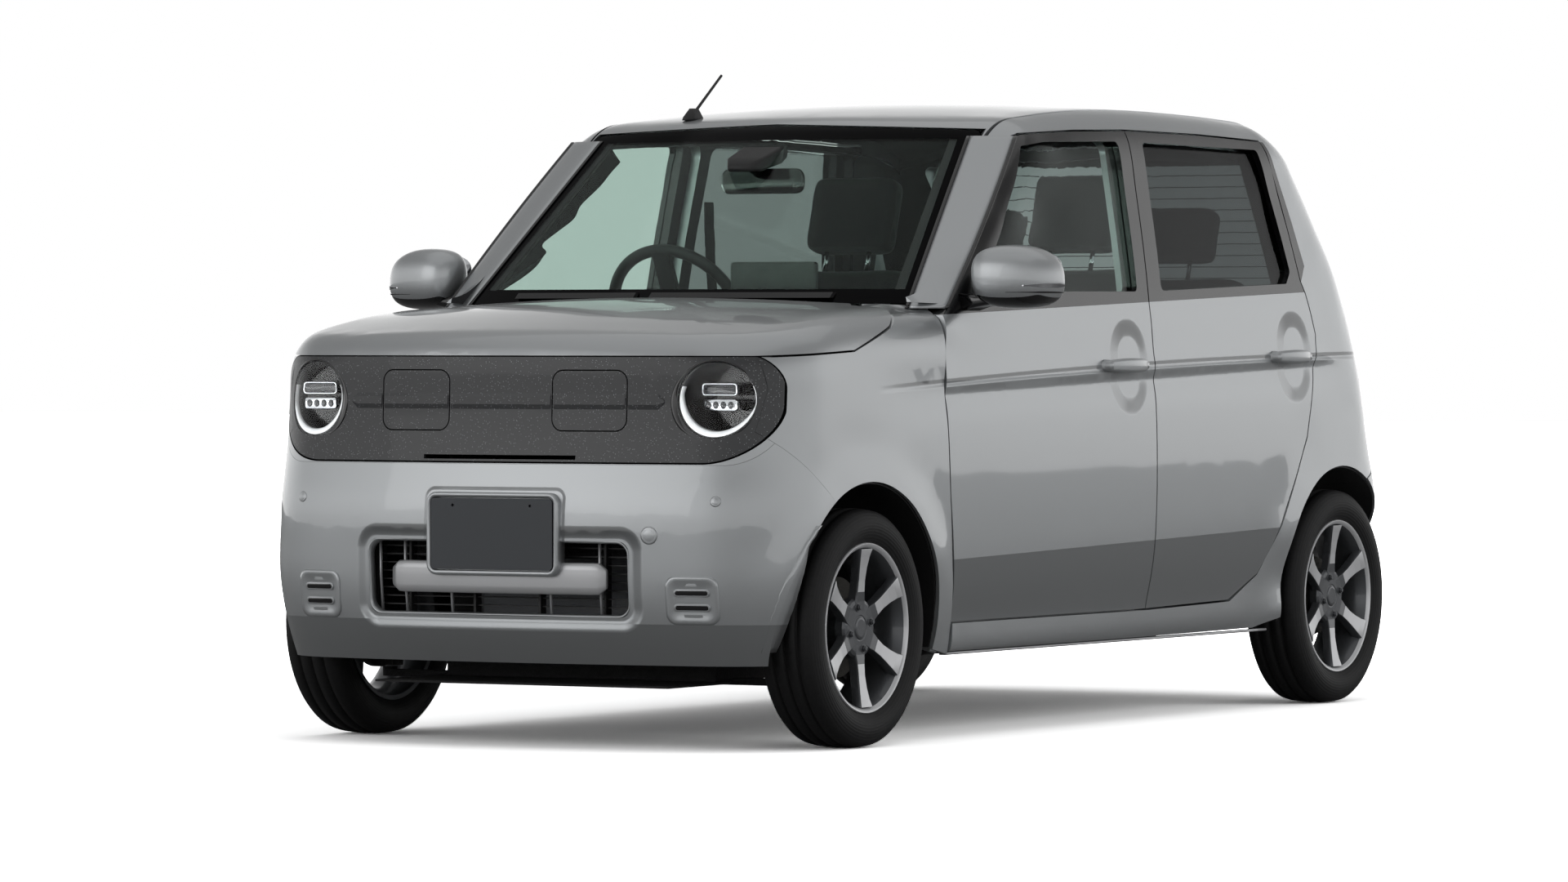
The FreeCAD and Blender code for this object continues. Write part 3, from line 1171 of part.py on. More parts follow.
# Knuckles with their calipers and struts, which turn about the ball joint and the strut top.
for name, side in (("left", 1), ("right", -1)):
    low = V(side * s.kingpin_low_x, front_axle_y, s.kingpin_low_z)
    top = V(side * s.kingpin_top_x, front_axle_y, s.kingpin_top_z)
    lean = math.degrees(math.atan2(top.x - low.x, top.z - low.z))
    disc_back = "(track / 2 + %s - spoke_rise - spoke_depth - hub_tube_length)" % SPOKE_FACE
    inner = lambda text: text if side > 0 else "-(%s)" % text
    start = disc_back + " - bearing_gap - bearing_length"
    carrier = across("carrier_%s" % name, "bearing_radius", "bearing_length",
                     (start if side > 0 else "-(%s) - bearing_length" % start, FRONT_AXLE_Y, AXLE_Z))
    upright_x = start if side > 0 else "-(%s) - upright_wall" % start
    upright = box("upright_%s" % name, "upright_wall", "upright_width", "upright_top - kingpin_low_z",
                  (upright_x, FRONT_AXLE_Y + " - upright_width / 2", "kingpin_low_z"))
    strut_x = ("%d * (kingpin_top_x + (kingpin_low_x - kingpin_top_x) * (kingpin_top_z - strut_low_z)"
               " / (kingpin_top_z - kingpin_low_z) - strut_radius)" % side)
    strut = rod("strut_%s" % name, "strut_radius", "kingpin_top_z - strut_low_z - strut_top_gap", (strut_x,
            FRONT_AXLE_Y, "strut_low_z"), (0, 1, 0), lean)
    spring_x = ("%d * (kingpin_top_x + (kingpin_low_x - kingpin_top_x) * spring_length"
                " / (kingpin_top_z - kingpin_low_z) - strut_radius)" % side)
    spring = rod("spring_%s" % name, "spring_radius", "spring_length - strut_top_gap", (spring_x,
            FRONT_AXLE_Y, "kingpin_top_z - spring_length"), (0, 1, 0), lean)
    bracket = box("bracket_%s" % name, "upright_wall * 3", "upright_width", "upright_width",
                  ("%d * (%s)" % (side, start) if side > 0 else "-(%s) - upright_wall * 2" % start,
                   FRONT_AXLE_Y + " - upright_width / 2", "upright_top - upright_width"))
    if side > 0:
        bind(bracket, Placement_Base_x=start + " - upright_wall * 2")
    else:
        bind(bracket, Placement_Base_x="-(%s) - upright_wall" % start)
    caliper_x = disc_back + " - caliper_wall"
    caliper = box("caliper_%s" % name, "disc_width + 2 * caliper_wall", "caliper_depth", "caliper_height",
                  (caliper_x if side > 0 else "-(%s) - disc_width - 2 * caliper_wall" % caliper_x,
                   FRONT_AXLE_Y + " - disc_radius - caliper_wall * 1.5", AXLE_Z + " - caliper_height / 2"))
    slot_x = disc_back + " - caliper_wall / 4"
    slot = across("caliper_slot_%s" % name, "disc_radius + caliper_wall / 4", "disc_width + caliper_wall / 2",
                  (slot_x if side > 0 else "-(%s) - disc_width - caliper_wall / 2" % slot_x, FRONT_AXLE_Y,
                   AXLE_Z))
    jaws = less("caliper_jaws_%s" % name, caliper, slot)
    arm_width = "(bearing_length + bearing_gap - caliper_wall / 2)"
    arm_x = start if side > 0 else "-(%s) - %s" % (start, arm_width)
    arm = box("caliper_arm_%s" % name, arm_width, "disc_radius + caliper_wall / 2", "upright_width",
              (arm_x, FRONT_AXLE_Y + " - disc_radius - caliper_wall / 2", AXLE_Z + " - upright_width / 2"))
    keep(joined("knuckle_%s" % name, [carrier, upright, strut, spring, bracket, jaws, arm]),
         "knuckle_%s" % name)

# Battery pack under the floor and the drive unit between the front wheels.
keep(put(rounded_block("battery_pack", "battery_width", "battery_length", "battery_height", "battery_radius"),
         ("0", "battery_middle_y", "battery_clearance + battery_height / 2")), "battery_pack")
keep(put(rounded_block("drive_unit", "drive_width", "drive_length", "drive_height", "battery_radius"),
         ("0", FRONT_AXLE_Y + " + drive_setback",
          "subframe_low_z + subframe_height + fit_gap + drive_height / 2")), "drive_unit")

# Front subframe with its lower arms, and the undertray below it.
members = [box("subframe_cross", "2 * subframe_half", "subframe_length", "subframe_height",
               ("-subframe_half", FRONT_AXLE_Y + " - subframe_length / 3", "subframe_low_z"))]
for name, side in (("left", 1), ("right", -1)):
    reach = "kingpin_low_x - subframe_half + subframe_height"
    members.append(box("lower_arm_%s" % name, reach, "arm_radius * 2.4", "arm_radius",
                       ("subframe_half - subframe_height" if side > 0 else "-kingpin_low_x",
                        FRONT_AXLE_Y + " - arm_radius * 1.2", "kingpin_low_z - arm_radius * 1.6")))
    members.append(rod("ball_%s" % name, "arm_radius * 1.1", "arm_radius * 1.6 - ball_gap",
                       ("%d * kingpin_low_x" % side, FRONT_AXLE_Y, "kingpin_low_z - arm_radius * 1.6")))
    members.append(box("rail_%s" % name, "rail_width", "rail_length", "rail_height",
                       ("%d * rail_half - rail_width / 2" % side, FIREWALL_Y + " - fit_gap - rail_length",
                        "rail_low_z")))
    members.append(box("rail_post_%s" % name, "rail_width", "subframe_length / 3",
                       "rail_low_z - subframe_low_z + rail_height / 2",
                       ("%d * rail_half - rail_width / 2" % side, FRONT_AXLE_Y + " + subframe_length / 3",
                        "subframe_low_z")))
    members.append(box("tower_web_%s" % name, "tower_wall", "tower_width",
                       "kingpin_top_z + 2 * strut_top_gap - rail_low_z + tower_wall",
                       ("%d * rail_half - tower_wall / 2" % side, FRONT_AXLE_Y + " - tower_width / 2",
                        "rail_low_z")))
    members.append(box("tower_top_%s" % name, "kingpin_top_x + spring_radius - rail_half", "tower_width",
                       "tower_wall",
                       ("rail_half" if side > 0 else "-kingpin_top_x - spring_radius",
                        FRONT_AXLE_Y + " - tower_width / 2",
                        "kingpin_top_z + 2 * strut_top_gap")))
members.append(box("bumper_beam", "2 * beam_half", "beam_wall", "rail_height",
                   ("-beam_half", FIREWALL_Y + " - fit_gap - rail_length - beam_wall / 2", "rail_low_z")))
keep(joined("front_subframe", members), "front_subframe")
keep(box("undertray", "2 * undertray_half", "undertray_length", "undertray_wall",
         ("-undertray_half", NOSE_Y + " + undertray_setback", "subframe_low_z - undertray_wall - fit_gap")),
         "undertray")

# Rear axle: a twist beam with trailing arms, hubs, coil springs and dampers.
beam = [box("beam", "2 * trailing_half + arm_radius * 2", "arm_radius * 3.5", "arm_radius * 4",
            ("-trailing_half - arm_radius", REAR_AXLE_Y + " - beam_setback", AXLE_Z + " - arm_radius * 2"))]
for name, side in (("left", 1), ("right", -1)):
    beam.append(box("trailing_%s" % name, "arm_radius * 2", "trailing_length", "arm_radius * 4",
                    ("%d * trailing_half - arm_radius" % side,
                     REAR_AXLE_Y + " - trailing_length + arm_radius * 2",
                     AXLE_Z + " - arm_radius * 2")))
    drum_back = "(track / 2 + %s - spoke_rise - spoke_depth - hub_tube_length)" % SPOKE_FACE
    hub_length = "%s - bearing_gap - trailing_half" % drum_back
    beam.append(across("rear_hub_%s" % name, "bearing_radius", hub_length,
                       ("trailing_half" if side > 0 else "-(%s) + bearing_gap" % drum_back, REAR_AXLE_Y,
                        AXLE_Z)))
    beam.append(rod("damper_%s" % name, "strut_radius", "load_floor_z - fit_gap - %s" % AXLE_Z,
                    ("%d * trailing_half" % side, REAR_AXLE_Y + " + arm_radius * 2", AXLE_Z)))
    beam.append(rod("rear_spring_%s" % name, "spring_radius", "load_floor_z - fit_gap - %s" % AXLE_Z,
                    ("%d * (trailing_half - spring_radius)" % side, REAR_AXLE_Y + " - rear_spring_setback",
                     AXLE_Z)))
keep(joined("rear_axle", beam), "rear_axle")

# Front seats and the rear bench. Their pads are soft and stay clear of their neighbours.
LEAN = "(backrest_rake * 1 deg)"
BACK_REACH = ("((backrest_thickness / 2 - pad_radius) * cos(%s) - pad_radius * sin(%s)"
              " + pad_radius + fit_gap)" % (LEAN, LEAN))
BACK_FOOT = "(cushion_height * 0.8)"


def leaned(obj, x, rear_y, top_z, rise):
    """Place a piece of a seat back at a height along its lean."""
    put(obj, (x, "%s + %s + (%s) * sin(%s)" % (rear_y, BACK_REACH, rise, LEAN),
              "%s - %s + (%s) * cos(%s)" % (top_z, BACK_FOOT, rise, LEAN)), (1, 0, 0), -s.backrest_rake)
    return obj


def seat(name, x, width, rear_y, top_z, floor_z, head_height):
    """A cushion on its base, a leaning back, and a headrest on two posts."""
    cushion = rounded_block("cushion_" + name, width, "cushion_length", "cushion_height", "pad_radius")
    put(cushion, (x, "%s - cushion_length / 2" % rear_y, "%s - cushion_height / 2" % top_z))
    base = box("base_" + name, "(%s) * 0.8" % width, "cushion_length * 0.8",
               "%s - cushion_height - fit_gap - (%s)" % (top_z, floor_z),
               ("%s - (%s) * 0.4" % (x, width), "%s - cushion_length * 0.86" % rear_y, floor_z))
    back = rounded_block("backrest_" + name, "(%s) * 0.96" % width, "backrest_thickness", "backrest_height",
                         "pad_radius")
    leaned(back, x, rear_y, top_z, "backrest_height / 2")
    head = rounded_block("headrest_" + name, "headrest_width", "headrest_thickness", head_height,
                         "pad_radius")
    leaned(head, x, rear_y, top_z, "backrest_height + headrest_rise + (%s) / 2" % head_height)
    posts = []
    for side, way in (("left", 1), ("right", -1)):
        post = rod("post_%s_%s" % (name, side), "headrest_post_radius", "headrest_rise - 2 * fit_gap", ("0",
                "0", "0"))
        posts.append(leaned(post, "%s + %d * headrest_width / 4" % (x, way), rear_y, top_z,
                            "backrest_height + fit_gap"))
    return [cushion, base, back, head] + posts


seat_pads = []
bench_pads = []
CABIN_FLOOR = "(battery_clearance + battery_height + floor_wall + 2 * fit_gap)"
for name, side in (("left", 1), ("right", -1)):
    seat_pads.extend(seat("front_" + name, "%d * seat_spread" % side, "seat_width",
                          "(seat_hip_y + backrest_thickness / 2)",
                          "cushion_top", CABIN_FLOOR, "headrest_height"))
    bench_pads.extend(seat("rear_" + name, "%d * (bench_width + bench_split) / 4" % side,
                           "(bench_width - bench_split) / 2",
                           "(bench_hip_y + backrest_thickness / 2)", "bench_top",
                           "(bench_floor_z + floor_wall + fit_gap)",
                           "headrest_height * 0.7"))
keep(group("front_seats", seat_pads), "front_seats")
keep(group("rear_seat", bench_pads), "rear_seat")

# Dashboard, steering column and steering wheel.
DASH_Y = "(%s + floor_wall + fit_gap)" % FIREWALL_Y
dash_points = [(DASH_Y, "dash_top_z - dash_depth"), (DASH_Y, "dash_top_z - dash_fall"),
               (DASH_Y + " + dash_length / 2", "dash_top_z"), (DASH_Y + " + dash_length",
                                                               "dash_top_z - dash_fall"),
               (DASH_Y + " + dash_length", "dash_top_z - dash_depth / 2"),
               (DASH_Y + " + dash_length * 0.8", "dash_top_z - dash_depth")]
dash = pad("dash_body", "2 * dash_half", dash_points, "dash_radius")
column_way = "(column_length + steering_hub_depth + bearing_gap)"
column = rod("column", "steer_column_radius", "column_length",
             ("-steering_x", "steering_y - %s * cos(steering_rake * 1 deg)" % column_way,
              "steering_z - %s * sin(steering_rake * 1 deg)" % column_way), (1, 0, 0), s.steering_rake - 90)
keep(joined("dashboard", [dash, column]), "dashboard")
wheel_parts = [bind(doc.addObject("Part::Torus", "steering_rim"), Radius1="steering_wheel_radius",
                    Radius2="steering_rim_radius"),
               rod("steering_hub", "steering_hub_radius", "steering_hub_depth", ("0", "0",
                                                                                 "-steering_hub_depth"))]
for name, angle in (("left", 0), ("right", 180), ("low", -90)):
    spoke = box("steering_spoke_%s" % name, "steering_wheel_radius", "steering_spoke_width",
                "steering_spoke_depth",
                ("0", "0", "0"))
    spoke.setExpression("Placement.Base.x", None)
    spoke.setExpression("Placement.Base.y", None)
    spoke.setExpression("Placement.Base.z", None)
    half = s.steering_spoke_width / 2
    turn = FreeCAD.Rotation(V(0, 0, 1), angle)
    spoke.Placement = FreeCAD.Placement(turn.multVec(V(0, -half, -s.steering_spoke_depth)), turn)
    wheel_parts.append(spoke)
steering_wheel = joined("steering_wheel", wheel_parts)
keep(put(steering_wheel, ("-steering_x", "steering_y", "steering_z"), (1, 0, 0), s.steering_rake - 90),
     "steering_wheel")

# Floor: one folded sheet from the firewall to the load floor, trimmed to the body sides.
floor_z = s.battery_clearance + s.battery_height + s.fit_gap
FLOOR_SHARES = ((FIREWALL_SHARE, s.body_height * 0.60), (FIREWALL_SHARE, s.body_height * 0.245), (-0.440,
                                                                                                  floor_z),
                (0.270, floor_z), (0.300, s.bench_floor_z), (0.615, s.bench_floor_z), (0.645, s.load_floor_z),
                (0.930, s.load_floor_z))
floor_line = [(half_length * y, z) for y, z in FLOOR_SHARES]


def sheet_profile(line, wall):
    """The outline of a folded sheet of even thickness above or behind a line."""
    offset = []
    for i, p in enumerate(line):
        before = line[max(i - 1, 0)]
        after = line[min(i + 1, len(line) - 1)]
        normals = []
        for q, r in ((before, p), (p, after)):
            length = math.hypot(r[0] - q[0], r[1] - q[1])
            if length:
                normals.append((-(r[1] - q[1]) / length, (r[0] - q[0]) / length))
        first = normals[0]
        last = normals[-1]
        along = 1 + first[0] * last[0] + first[1] * last[1]
        offset.append((p[0] + wall * (first[0] + last[0]) / along,
                       p[1] + wall * (first[1] + last[1]) / along))
    return line + list(reversed(offset))


floor_half = half_width * 0.92
floor = side_prism(sheet_profile(floor_line, s.floor_wall), -floor_half, floor_half)
side_room = cabin_side.slab(-s.cut_overrun / 2, lower_depth + 3 * s.fit_gap)
arch_rooms = []
liner_out = s.arch_radius - 2 * s.fit_gap
liner_in_x = {"front": half_width * 0.553, "rear": half_width * 0.735}
for place, axle_y in (("front", front_axle_y), ("rear", rear_axle_y)):
    room = Part.makeCylinder(liner_out + s.fit_gap, half_width,
                             V(liner_in_x[place] - s.liner_wall - s.fit_gap, axle_y, axle_z),
                             V(1, 0, 0))
    arch_rooms.extend([room, mirrored(room)])
floor = floor.cut([side_room, mirrored(side_room)] + arch_rooms)
keep_shape("floor", main_solid(floor))

# Wheel-house liners: a half drum round each wheel, closed on the inner side but for the axle and the strut.
liners = []
liner_trim = {"front": fender_side.slab(-2 * s.cut_overrun, s.bumper_wall + s.fit_gap),
              "rear": cabin_side.slab(-2 * s.cut_overrun, s.fender_wall)}
for place, axle_y in (("front", front_axle_y), ("rear", rear_axle_y)):
    inner_x = liner_in_x[place]
    reach = half_width - inner_x + s.liner_wall
    drum = Part.makeCylinder(liner_out, reach, V(inner_x - s.liner_wall, axle_y, axle_z), V(1, 0, 0))
    core = Part.makeCylinder(liner_out - s.liner_wall, half_width, V(inner_x, axle_y, axle_z), V(1, 0, 0))
    drum = drum.cut(core)
    low_z = s.kingpin_low_z * 1.35
    below = Part.makeBox(s.body_width, s.body_length, s.body_height, V(0, axle_y - half_length,
                                                                       low_z - s.body_height))
    inner_wall = Part.makeBox(inner_x, s.arch_radius * 1.2, s.kingpin_top_z, V(0,
            axle_y - s.arch_radius * 0.6, 0))
    cuts = [below, inner_wall, liner_trim[place]]
    if place == "front":
        cuts.append(Part.makeCylinder(s.spring_radius * 1.5, s.kingpin_top_z, V(s.kingpin_top_x, axle_y,
                                                                                axle_z), V(0, 0, 1)))
    liner = main_solid(drum.cut(cuts))
    liners.extend([liner, mirrored(liner)])
keep_shape("wheel_liners", Part.makeCompound(liners))

# Headlamps: a housing with two projector bars and a ring, and a clear cover flush with the face panel.
front_room = front_end.slab(-s.cut_overrun, s.glass_inset / 2 + s.lamp_wall + s.fit_gap)
lamp_back = -half_length * 0.905
cup_length = s.lamp_depth + s.cut_overrun
cup = Part.makeCylinder(s.lamp_radius, cup_length, V(s.lamp_spread, lamp_back - cup_length, lamp_z),
                        V(0, 1, 0))
hollow = Part.makeCylinder(s.lamp_radius - s.lamp_wall, cup_length,
                           V(s.lamp_spread, lamp_back - cup_length - s.lamp_wall, lamp_z), V(0, 1, 0))
housing = main_solid(cup.cut([hollow, front_room]))
bars = []
for step in (-0.12, 0.26):
    bars.append(Part.makeBox(s.lamp_radius * 1.05, s.lamp_depth * 0.55, s.lamp_radius * 0.2,
                             V(s.lamp_spread - s.lamp_radius * 0.52,
                                     lamp_back - s.lamp_depth * 0.55 - s.lamp_wall / 2,
                                     lamp_z + step * s.lamp_radius - s.lamp_radius * 0.1)))
housing = housing.fuse(bars)
cover = front_end.slab(s.glass_inset / 2, s.glass_inset / 2 + s.lamp_wall).common(
    Part.makeCylinder(s.lamp_radius, half_length * 0.3, V(s.lamp_spread, nose_start, lamp_z), V(0, 1, 0)))
cover = main_solid(cover)
keep_shape("headlamps", both(housing))
keep_shape("headlamp_covers", both(cover))

# Charge ports behind their lids, each with the hinge block that carries its lid.
face_at = surface_point(lower_field, (s.lid_spread, -half_length * 0.7, lid_z), (0.0, -1.0, 0.0),
                        s.face_wall, half_length).y
cup = front_prism(rectangle(s.lid_spread, lid_z, s.lid_width + 6 * s.lid_gap, s.lid_height + 6 * s.lid_gap),
                  face_at - s.port_depth / 2, face_at + s.port_depth, s.lid_radius)
hollow = front_prism(rectangle(s.lid_spread, lid_z, s.lid_width + 4 * s.lid_gap,
                               s.lid_height + 4 * s.lid_gap),
                     face_at - s.port_depth, face_at + s.port_depth - s.port_wall, s.lid_radius)
socket = Part.makeCylinder(s.socket_radius, s.port_depth * 0.6, V(s.lid_spread,
        face_at + s.port_depth * 0.4, lid_z), V(0, 1, 0))
room = front_end.slab(-s.cut_overrun, s.face_wall + s.fit_gap)
edge_x = s.lid_spread + s.lid_width / 2
boss = front_prism(rectangle(edge_x, lid_z, 5 * s.lid_gap + 2 * s.port_wall, s.lid_height / 3),
                   face_at - s.port_depth,
                   face_at + s.port_depth / 2)
beside = front_prism(rectangle(edge_x + half_width / 2, lid_z, half_width - s.lid_gap, s.body_height / 2),
                     face_at - 2 * s.port_depth, face_at + s.port_depth)
boss = boss.cut([front_end.slab(-s.cut_overrun, s.lid_wall + s.fit_gap), room.common(beside)])
port = main_solid(cup.cut([hollow, room]).fuse([boss, socket]))
keep_shape("charge_ports", both(port))

# Lower grille: fins and posts in a frame, and the bar across it.
grille_y = -half_length * 0.965
frame_out = front_prism(grown(grille_outline, s.lid_gap * 3), grille_y, grille_y + s.lamp_depth / 2,
                        s.lid_radius)
frame_in = front_prism(grown(grille_outline, -s.lid_gap), grille_y - s.lamp_depth, grille_y + s.lamp_depth,
                       s.lid_radius)
fins = [frame_out.cut(frame_in)]
low_z = grille_outline[0][1]
high_z = grille_outline[2][1]
fin_count = 9
for i in range(1, fin_count):
    z = low_z + (high_z - low_z) * i / fin_count
    fins.append(Part.makeBox(2 * grille_outline[1][0], s.lamp_depth / 4, s.lid_gap, V(grille_outline[0][0],
            grille_y + s.lamp_depth / 8, z)))
for share in (-0.75, -0.25, 0.25, 0.75):
    fins.append(Part.makeBox(s.lid_gap * 2, s.lamp_depth / 3, high_z - low_z,
                             V(share * grille_outline[1][0], grille_y, low_z)))
grille = fins[0].fuse(fins[1:])
grille = grille.cut(front_end.slab(-s.cut_overrun, s.bumper_wall + s.fit_gap))
keep_shape("lower_grille", main_solid(grille))
bar_layer = front_end.slab(0.0, s.bumper_wall)
bar_outline = rectangle(0.0, s.body_height * 0.257, half_width * 0.787, s.body_height * 0.0485)
keep_shape("grille_bar", main_solid(bar_layer.common(front_prism(bar_outline, nose_start,
                                                                 -half_length * 0.85, s.lid_radius / 2))))

# Number plates, plain and blank, with their two screw holes.
plate_z = s.body_height * 0.323
rear_plate_z = s.body_height * 0.47


def number_plate(z, y, way):
    plate = front_prism(rectangle(0.0, z, s.plate_width, s.plate_height), y, y + way * s.plate_wall,
                        s.plate_radius)
    screws = []
    for side in (-1, 1):
        screws.append(Part.makeCylinder(s.plate_screw_radius, 4 * s.plate_wall,
                                        V(side * s.plate_screw_spacing / 2, y - 2 * s.plate_wall,
                                          z + s.plate_height * 0.4), V(0, 1, 0)))
    return plate.cut(screws)


front_plate_y = min(surface_point(lower_field, (0.0, -half_length * 0.7, z), (0.0, -1.0, 0.0), 0.0,
                                  half_length).y
                    for z in (plate_z, plate_z - s.plate_height / 4,
                              plate_z + s.plate_height / 2)) - s.fit_gap
keep_shape("front_plate", number_plate(plate_z, front_plate_y, -1))
rear_plate_y = max(surface_point(upper_field, (0.0, half_length * 0.5, z), (0.0, 1.0, 0.0), 0.0,
                                 half_length).y
                   for z in (rear_plate_z - s.plate_height / 2,
                             rear_plate_z + s.plate_height / 2)) + s.fit_gap
keep_shape("rear_plate", number_plate(rear_plate_z, rear_plate_y, 1))

# Tail lamps at the rear corners.
tail_lamp_layer = cabin_side.slab(0.0, tail_lamp_depth)
tail_lamp = front_prism(lamp_outline, half_length * 0.865, half_length + s.cut_overrun)
tail_lamp = main_solid(tail_lamp_layer.common(tail_lamp))
keep_shape("tail_lamps", both(tail_lamp))

# Cowl panel from under the hood's rear edge to the foot of the screen.
cowl_layer = hood_top.slab(s.hood_wall + s.fit_gap, s.hood_wall + s.fit_gap + s.floor_wall)
cowl_front = [(x, y - s.cowl_lap) for x, y in hood_rear]
foot_y = half_length * SCREEN_FOOT_SHARES[0] - s.hood_wall - 2 * s.shut_gap
cowl_rear = [(x, foot_y + x * x / (2 * s.screen_plan_radius)) for x, y in reversed(hood_rear)]
cowl_half = cowl_front + cowl_rear
cowl_plan = cowl_half + [(-x, y) for x, y in reversed(cowl_half) if x > 0]
cowl_cutter = top_prism(cowl_plan, 0.0, s.body_height)
side_gap = V(-s.fit_gap, 0, 0)
cowl_side = body_side.copy()
cowl_side.translate(side_gap)
cowl = cowl_layer.common(cowl_cutter).cut([cowl_side, mirrored(cowl_side)])
keep_shape("cowl", main_solid(cowl))

# Wipers: an arm from the cowl and a blade along the foot of the screen.
WIPER_SHARES = (((-0.62, 0.6840), (-0.12, 0.6840)), ((-0.06, 0.6840), (0.58, 0.6840)))
blade_layer = screen_top.slab(-s.wiper_wall, s.glass_inset - s.fit_gap)
wipers = []
for start, end in WIPER_SHARES:
    a = (half_width * start[0], s.body_height * start[1])
    b = (half_width * end[0], s.body_height * end[1])
    strip = [(a[0], a[1] - s.wiper_wall), (b[0], b[1] - s.wiper_wall), (b[0], b[1] + s.wiper_wall / 2),
             (a[0], a[1] + s.wiper_wall / 2)]
    wipers.append(main_solid(blade_layer.common(front_prism(strip, -half_length * 0.8, 0.0))))
keep_shape("wipers", Part.makeCompound(wipers))

# Door mirrors, each seated on its door's skin.
skin_room = door_side.slab(-s.fit_gap, s.door_wall)
mirror_middle = V(half_width + s.mirror_width * 0.56, -half_length * 0.412, s.body_height * 0.7135)
housing = Part.makeBox(s.mirror_width, s.mirror_depth, s.mirror_height,
                       mirror_middle - V(s.mirror_width / 2, s.mirror_depth / 2, s.mirror_height / 2))
housing = housing.makeFillet(s.pad_radius, housing.Edges)
arm = Part.makeBox(s.mirror_width, s.mirror_depth * 0.5, s.mirror_arm,
                   mirror_middle - V(s.mirror_width * 1.25, s.mirror_depth * 0.25,
                                     s.mirror_height / 2 + s.mirror_arm * 0.6))
mirror = main_solid(housing.fuse(arm).cut(skin_room))
keep_pair("door_mirror", mirror)

# Roof antenna: a low base with a raked whip.
antenna_x = -half_width * 0.407
antenna_y = -half_length * 0.169
antenna_z = surface_point(upper_field, (antenna_x, antenna_y, s.body_height * 0.7), (0.0, 0.0, 1.0),
                          -s.fit_gap, s.body_height).z
foot = Part.makeCone(s.antenna_radius * 5, s.antenna_radius * 2, s.antenna_radius * 5, V(antenna_x,
        antenna_y, antenna_z - s.fit_gap * 5))
foot = foot.cut(roof_top.slab(-s.fit_gap, s.roof_wall))
whip = Part.makeCylinder(s.antenna_radius, s.antenna_length, V(antenna_x, antenna_y,
                                                               antenna_z + s.antenna_radius * 2),
                         V(0, math.sin(math.radians(56)), math.cos(math.radians(56))))
keep_shape("antenna", main_solid(foot.fuse(whip)))

doc.recompute()
for obj in doc.Objects:
    if "Invalid" in obj.State or "Error" in obj.State:
        raise RuntimeError("%s is %s" % (obj.Label, obj.State))
for obj in pieces:
    if obj.Shape.isNull() or not obj.Shape.isValid():
        raise RuntimeError("%s is not a valid solid" % obj.Label)
os.makedirs("parts", exist_ok=True)
for obj in pieces:
    obj.Shape.exportStep("parts/%s.step" % obj.Label)
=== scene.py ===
import math

import bmesh
import bpy
import numpy as np
from mathutils import Matrix, Vector
from mathutils.bvhtree import BVHTree


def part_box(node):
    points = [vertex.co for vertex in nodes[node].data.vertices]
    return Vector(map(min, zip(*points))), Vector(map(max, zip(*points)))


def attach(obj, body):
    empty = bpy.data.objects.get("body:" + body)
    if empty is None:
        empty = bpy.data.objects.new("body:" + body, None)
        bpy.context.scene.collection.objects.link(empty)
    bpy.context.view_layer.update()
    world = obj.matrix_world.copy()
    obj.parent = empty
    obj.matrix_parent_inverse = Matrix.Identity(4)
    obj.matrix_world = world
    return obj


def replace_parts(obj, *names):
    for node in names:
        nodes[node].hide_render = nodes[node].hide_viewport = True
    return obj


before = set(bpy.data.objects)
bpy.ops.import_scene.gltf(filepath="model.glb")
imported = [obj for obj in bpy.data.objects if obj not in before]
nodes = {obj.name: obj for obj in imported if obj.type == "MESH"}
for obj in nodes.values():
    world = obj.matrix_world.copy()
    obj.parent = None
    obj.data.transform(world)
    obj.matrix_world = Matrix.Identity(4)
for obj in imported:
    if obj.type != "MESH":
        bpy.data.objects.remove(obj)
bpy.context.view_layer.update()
SIDES = ((1, "left"), (-1, "right"))


def placed(name, data):
    """A new object in the scene."""
    made = bpy.data.objects.new(name, data)
    bpy.context.scene.collection.objects.link(made)
    return made


# Camera: a long lens a little under roof height, off the car's left front corner.
CAMERA_PLACE = (9.30586, -16.59994, 0.95920)
CAMERA_YAW = math.radians(29.784)
CAMERA_PITCH = math.radians(0.800)
camera = placed("camera", bpy.data.cameras.new("camera"))
camera.location = CAMERA_PLACE
camera.rotation_euler = (math.pi / 2 - CAMERA_PITCH, 0, CAMERA_YAW)
camera.data.sensor_width = 36
camera.data.lens = 174.38
camera.data.clip_end = 200
bpy.context.scene.camera = camera
bpy.context.scene.view_settings.view_transform = "Standard"


def linear(colour):
    """An sRGB hex colour as the linear one that the shaders take."""
    channels = [int(colour[i:i + 2], 16) / 255 for i in (1, 3, 5)]
    return [c / 12.92 if c <= 0.04045 else ((c + 0.055) / 1.055) ** 2.4 for c in channels] + [1.0]


def add(tree, kind, inputs=(), **settings):
    """Add a node with its settings and its input values or links; a node given as input means its first output."""
    node = tree.nodes.new("ShaderNode" + kind)
    for name, value in settings.items():
        setattr(node, name, value)
    for name, value in dict(inputs).items():
        if isinstance(value, bpy.types.Node):
            value = value.outputs[0]
        if isinstance(value, bpy.types.NodeSocket):
            tree.links.new(value, node.inputs[name])
        else:
            node.inputs[name].default_value = value
    return node


def chain(tree, kind, first, *steps):
    """A row of nodes, each working on the one before it: (operation, its other values)."""
    for operation, *others in steps:
        values = {i + 1: value for i, value in enumerate(others)}
        first = add(tree, kind, {0: first, **values}, operation=operation)
    return first


def seen_rays(tree):
    """1 for what the camera sees, also through glass."""
    path = add(tree, "LightPath")
    return chain(tree, "Math", path.outputs["Is Camera Ray"], ("MAXIMUM", path.outputs["Is Transmission Ray"]))


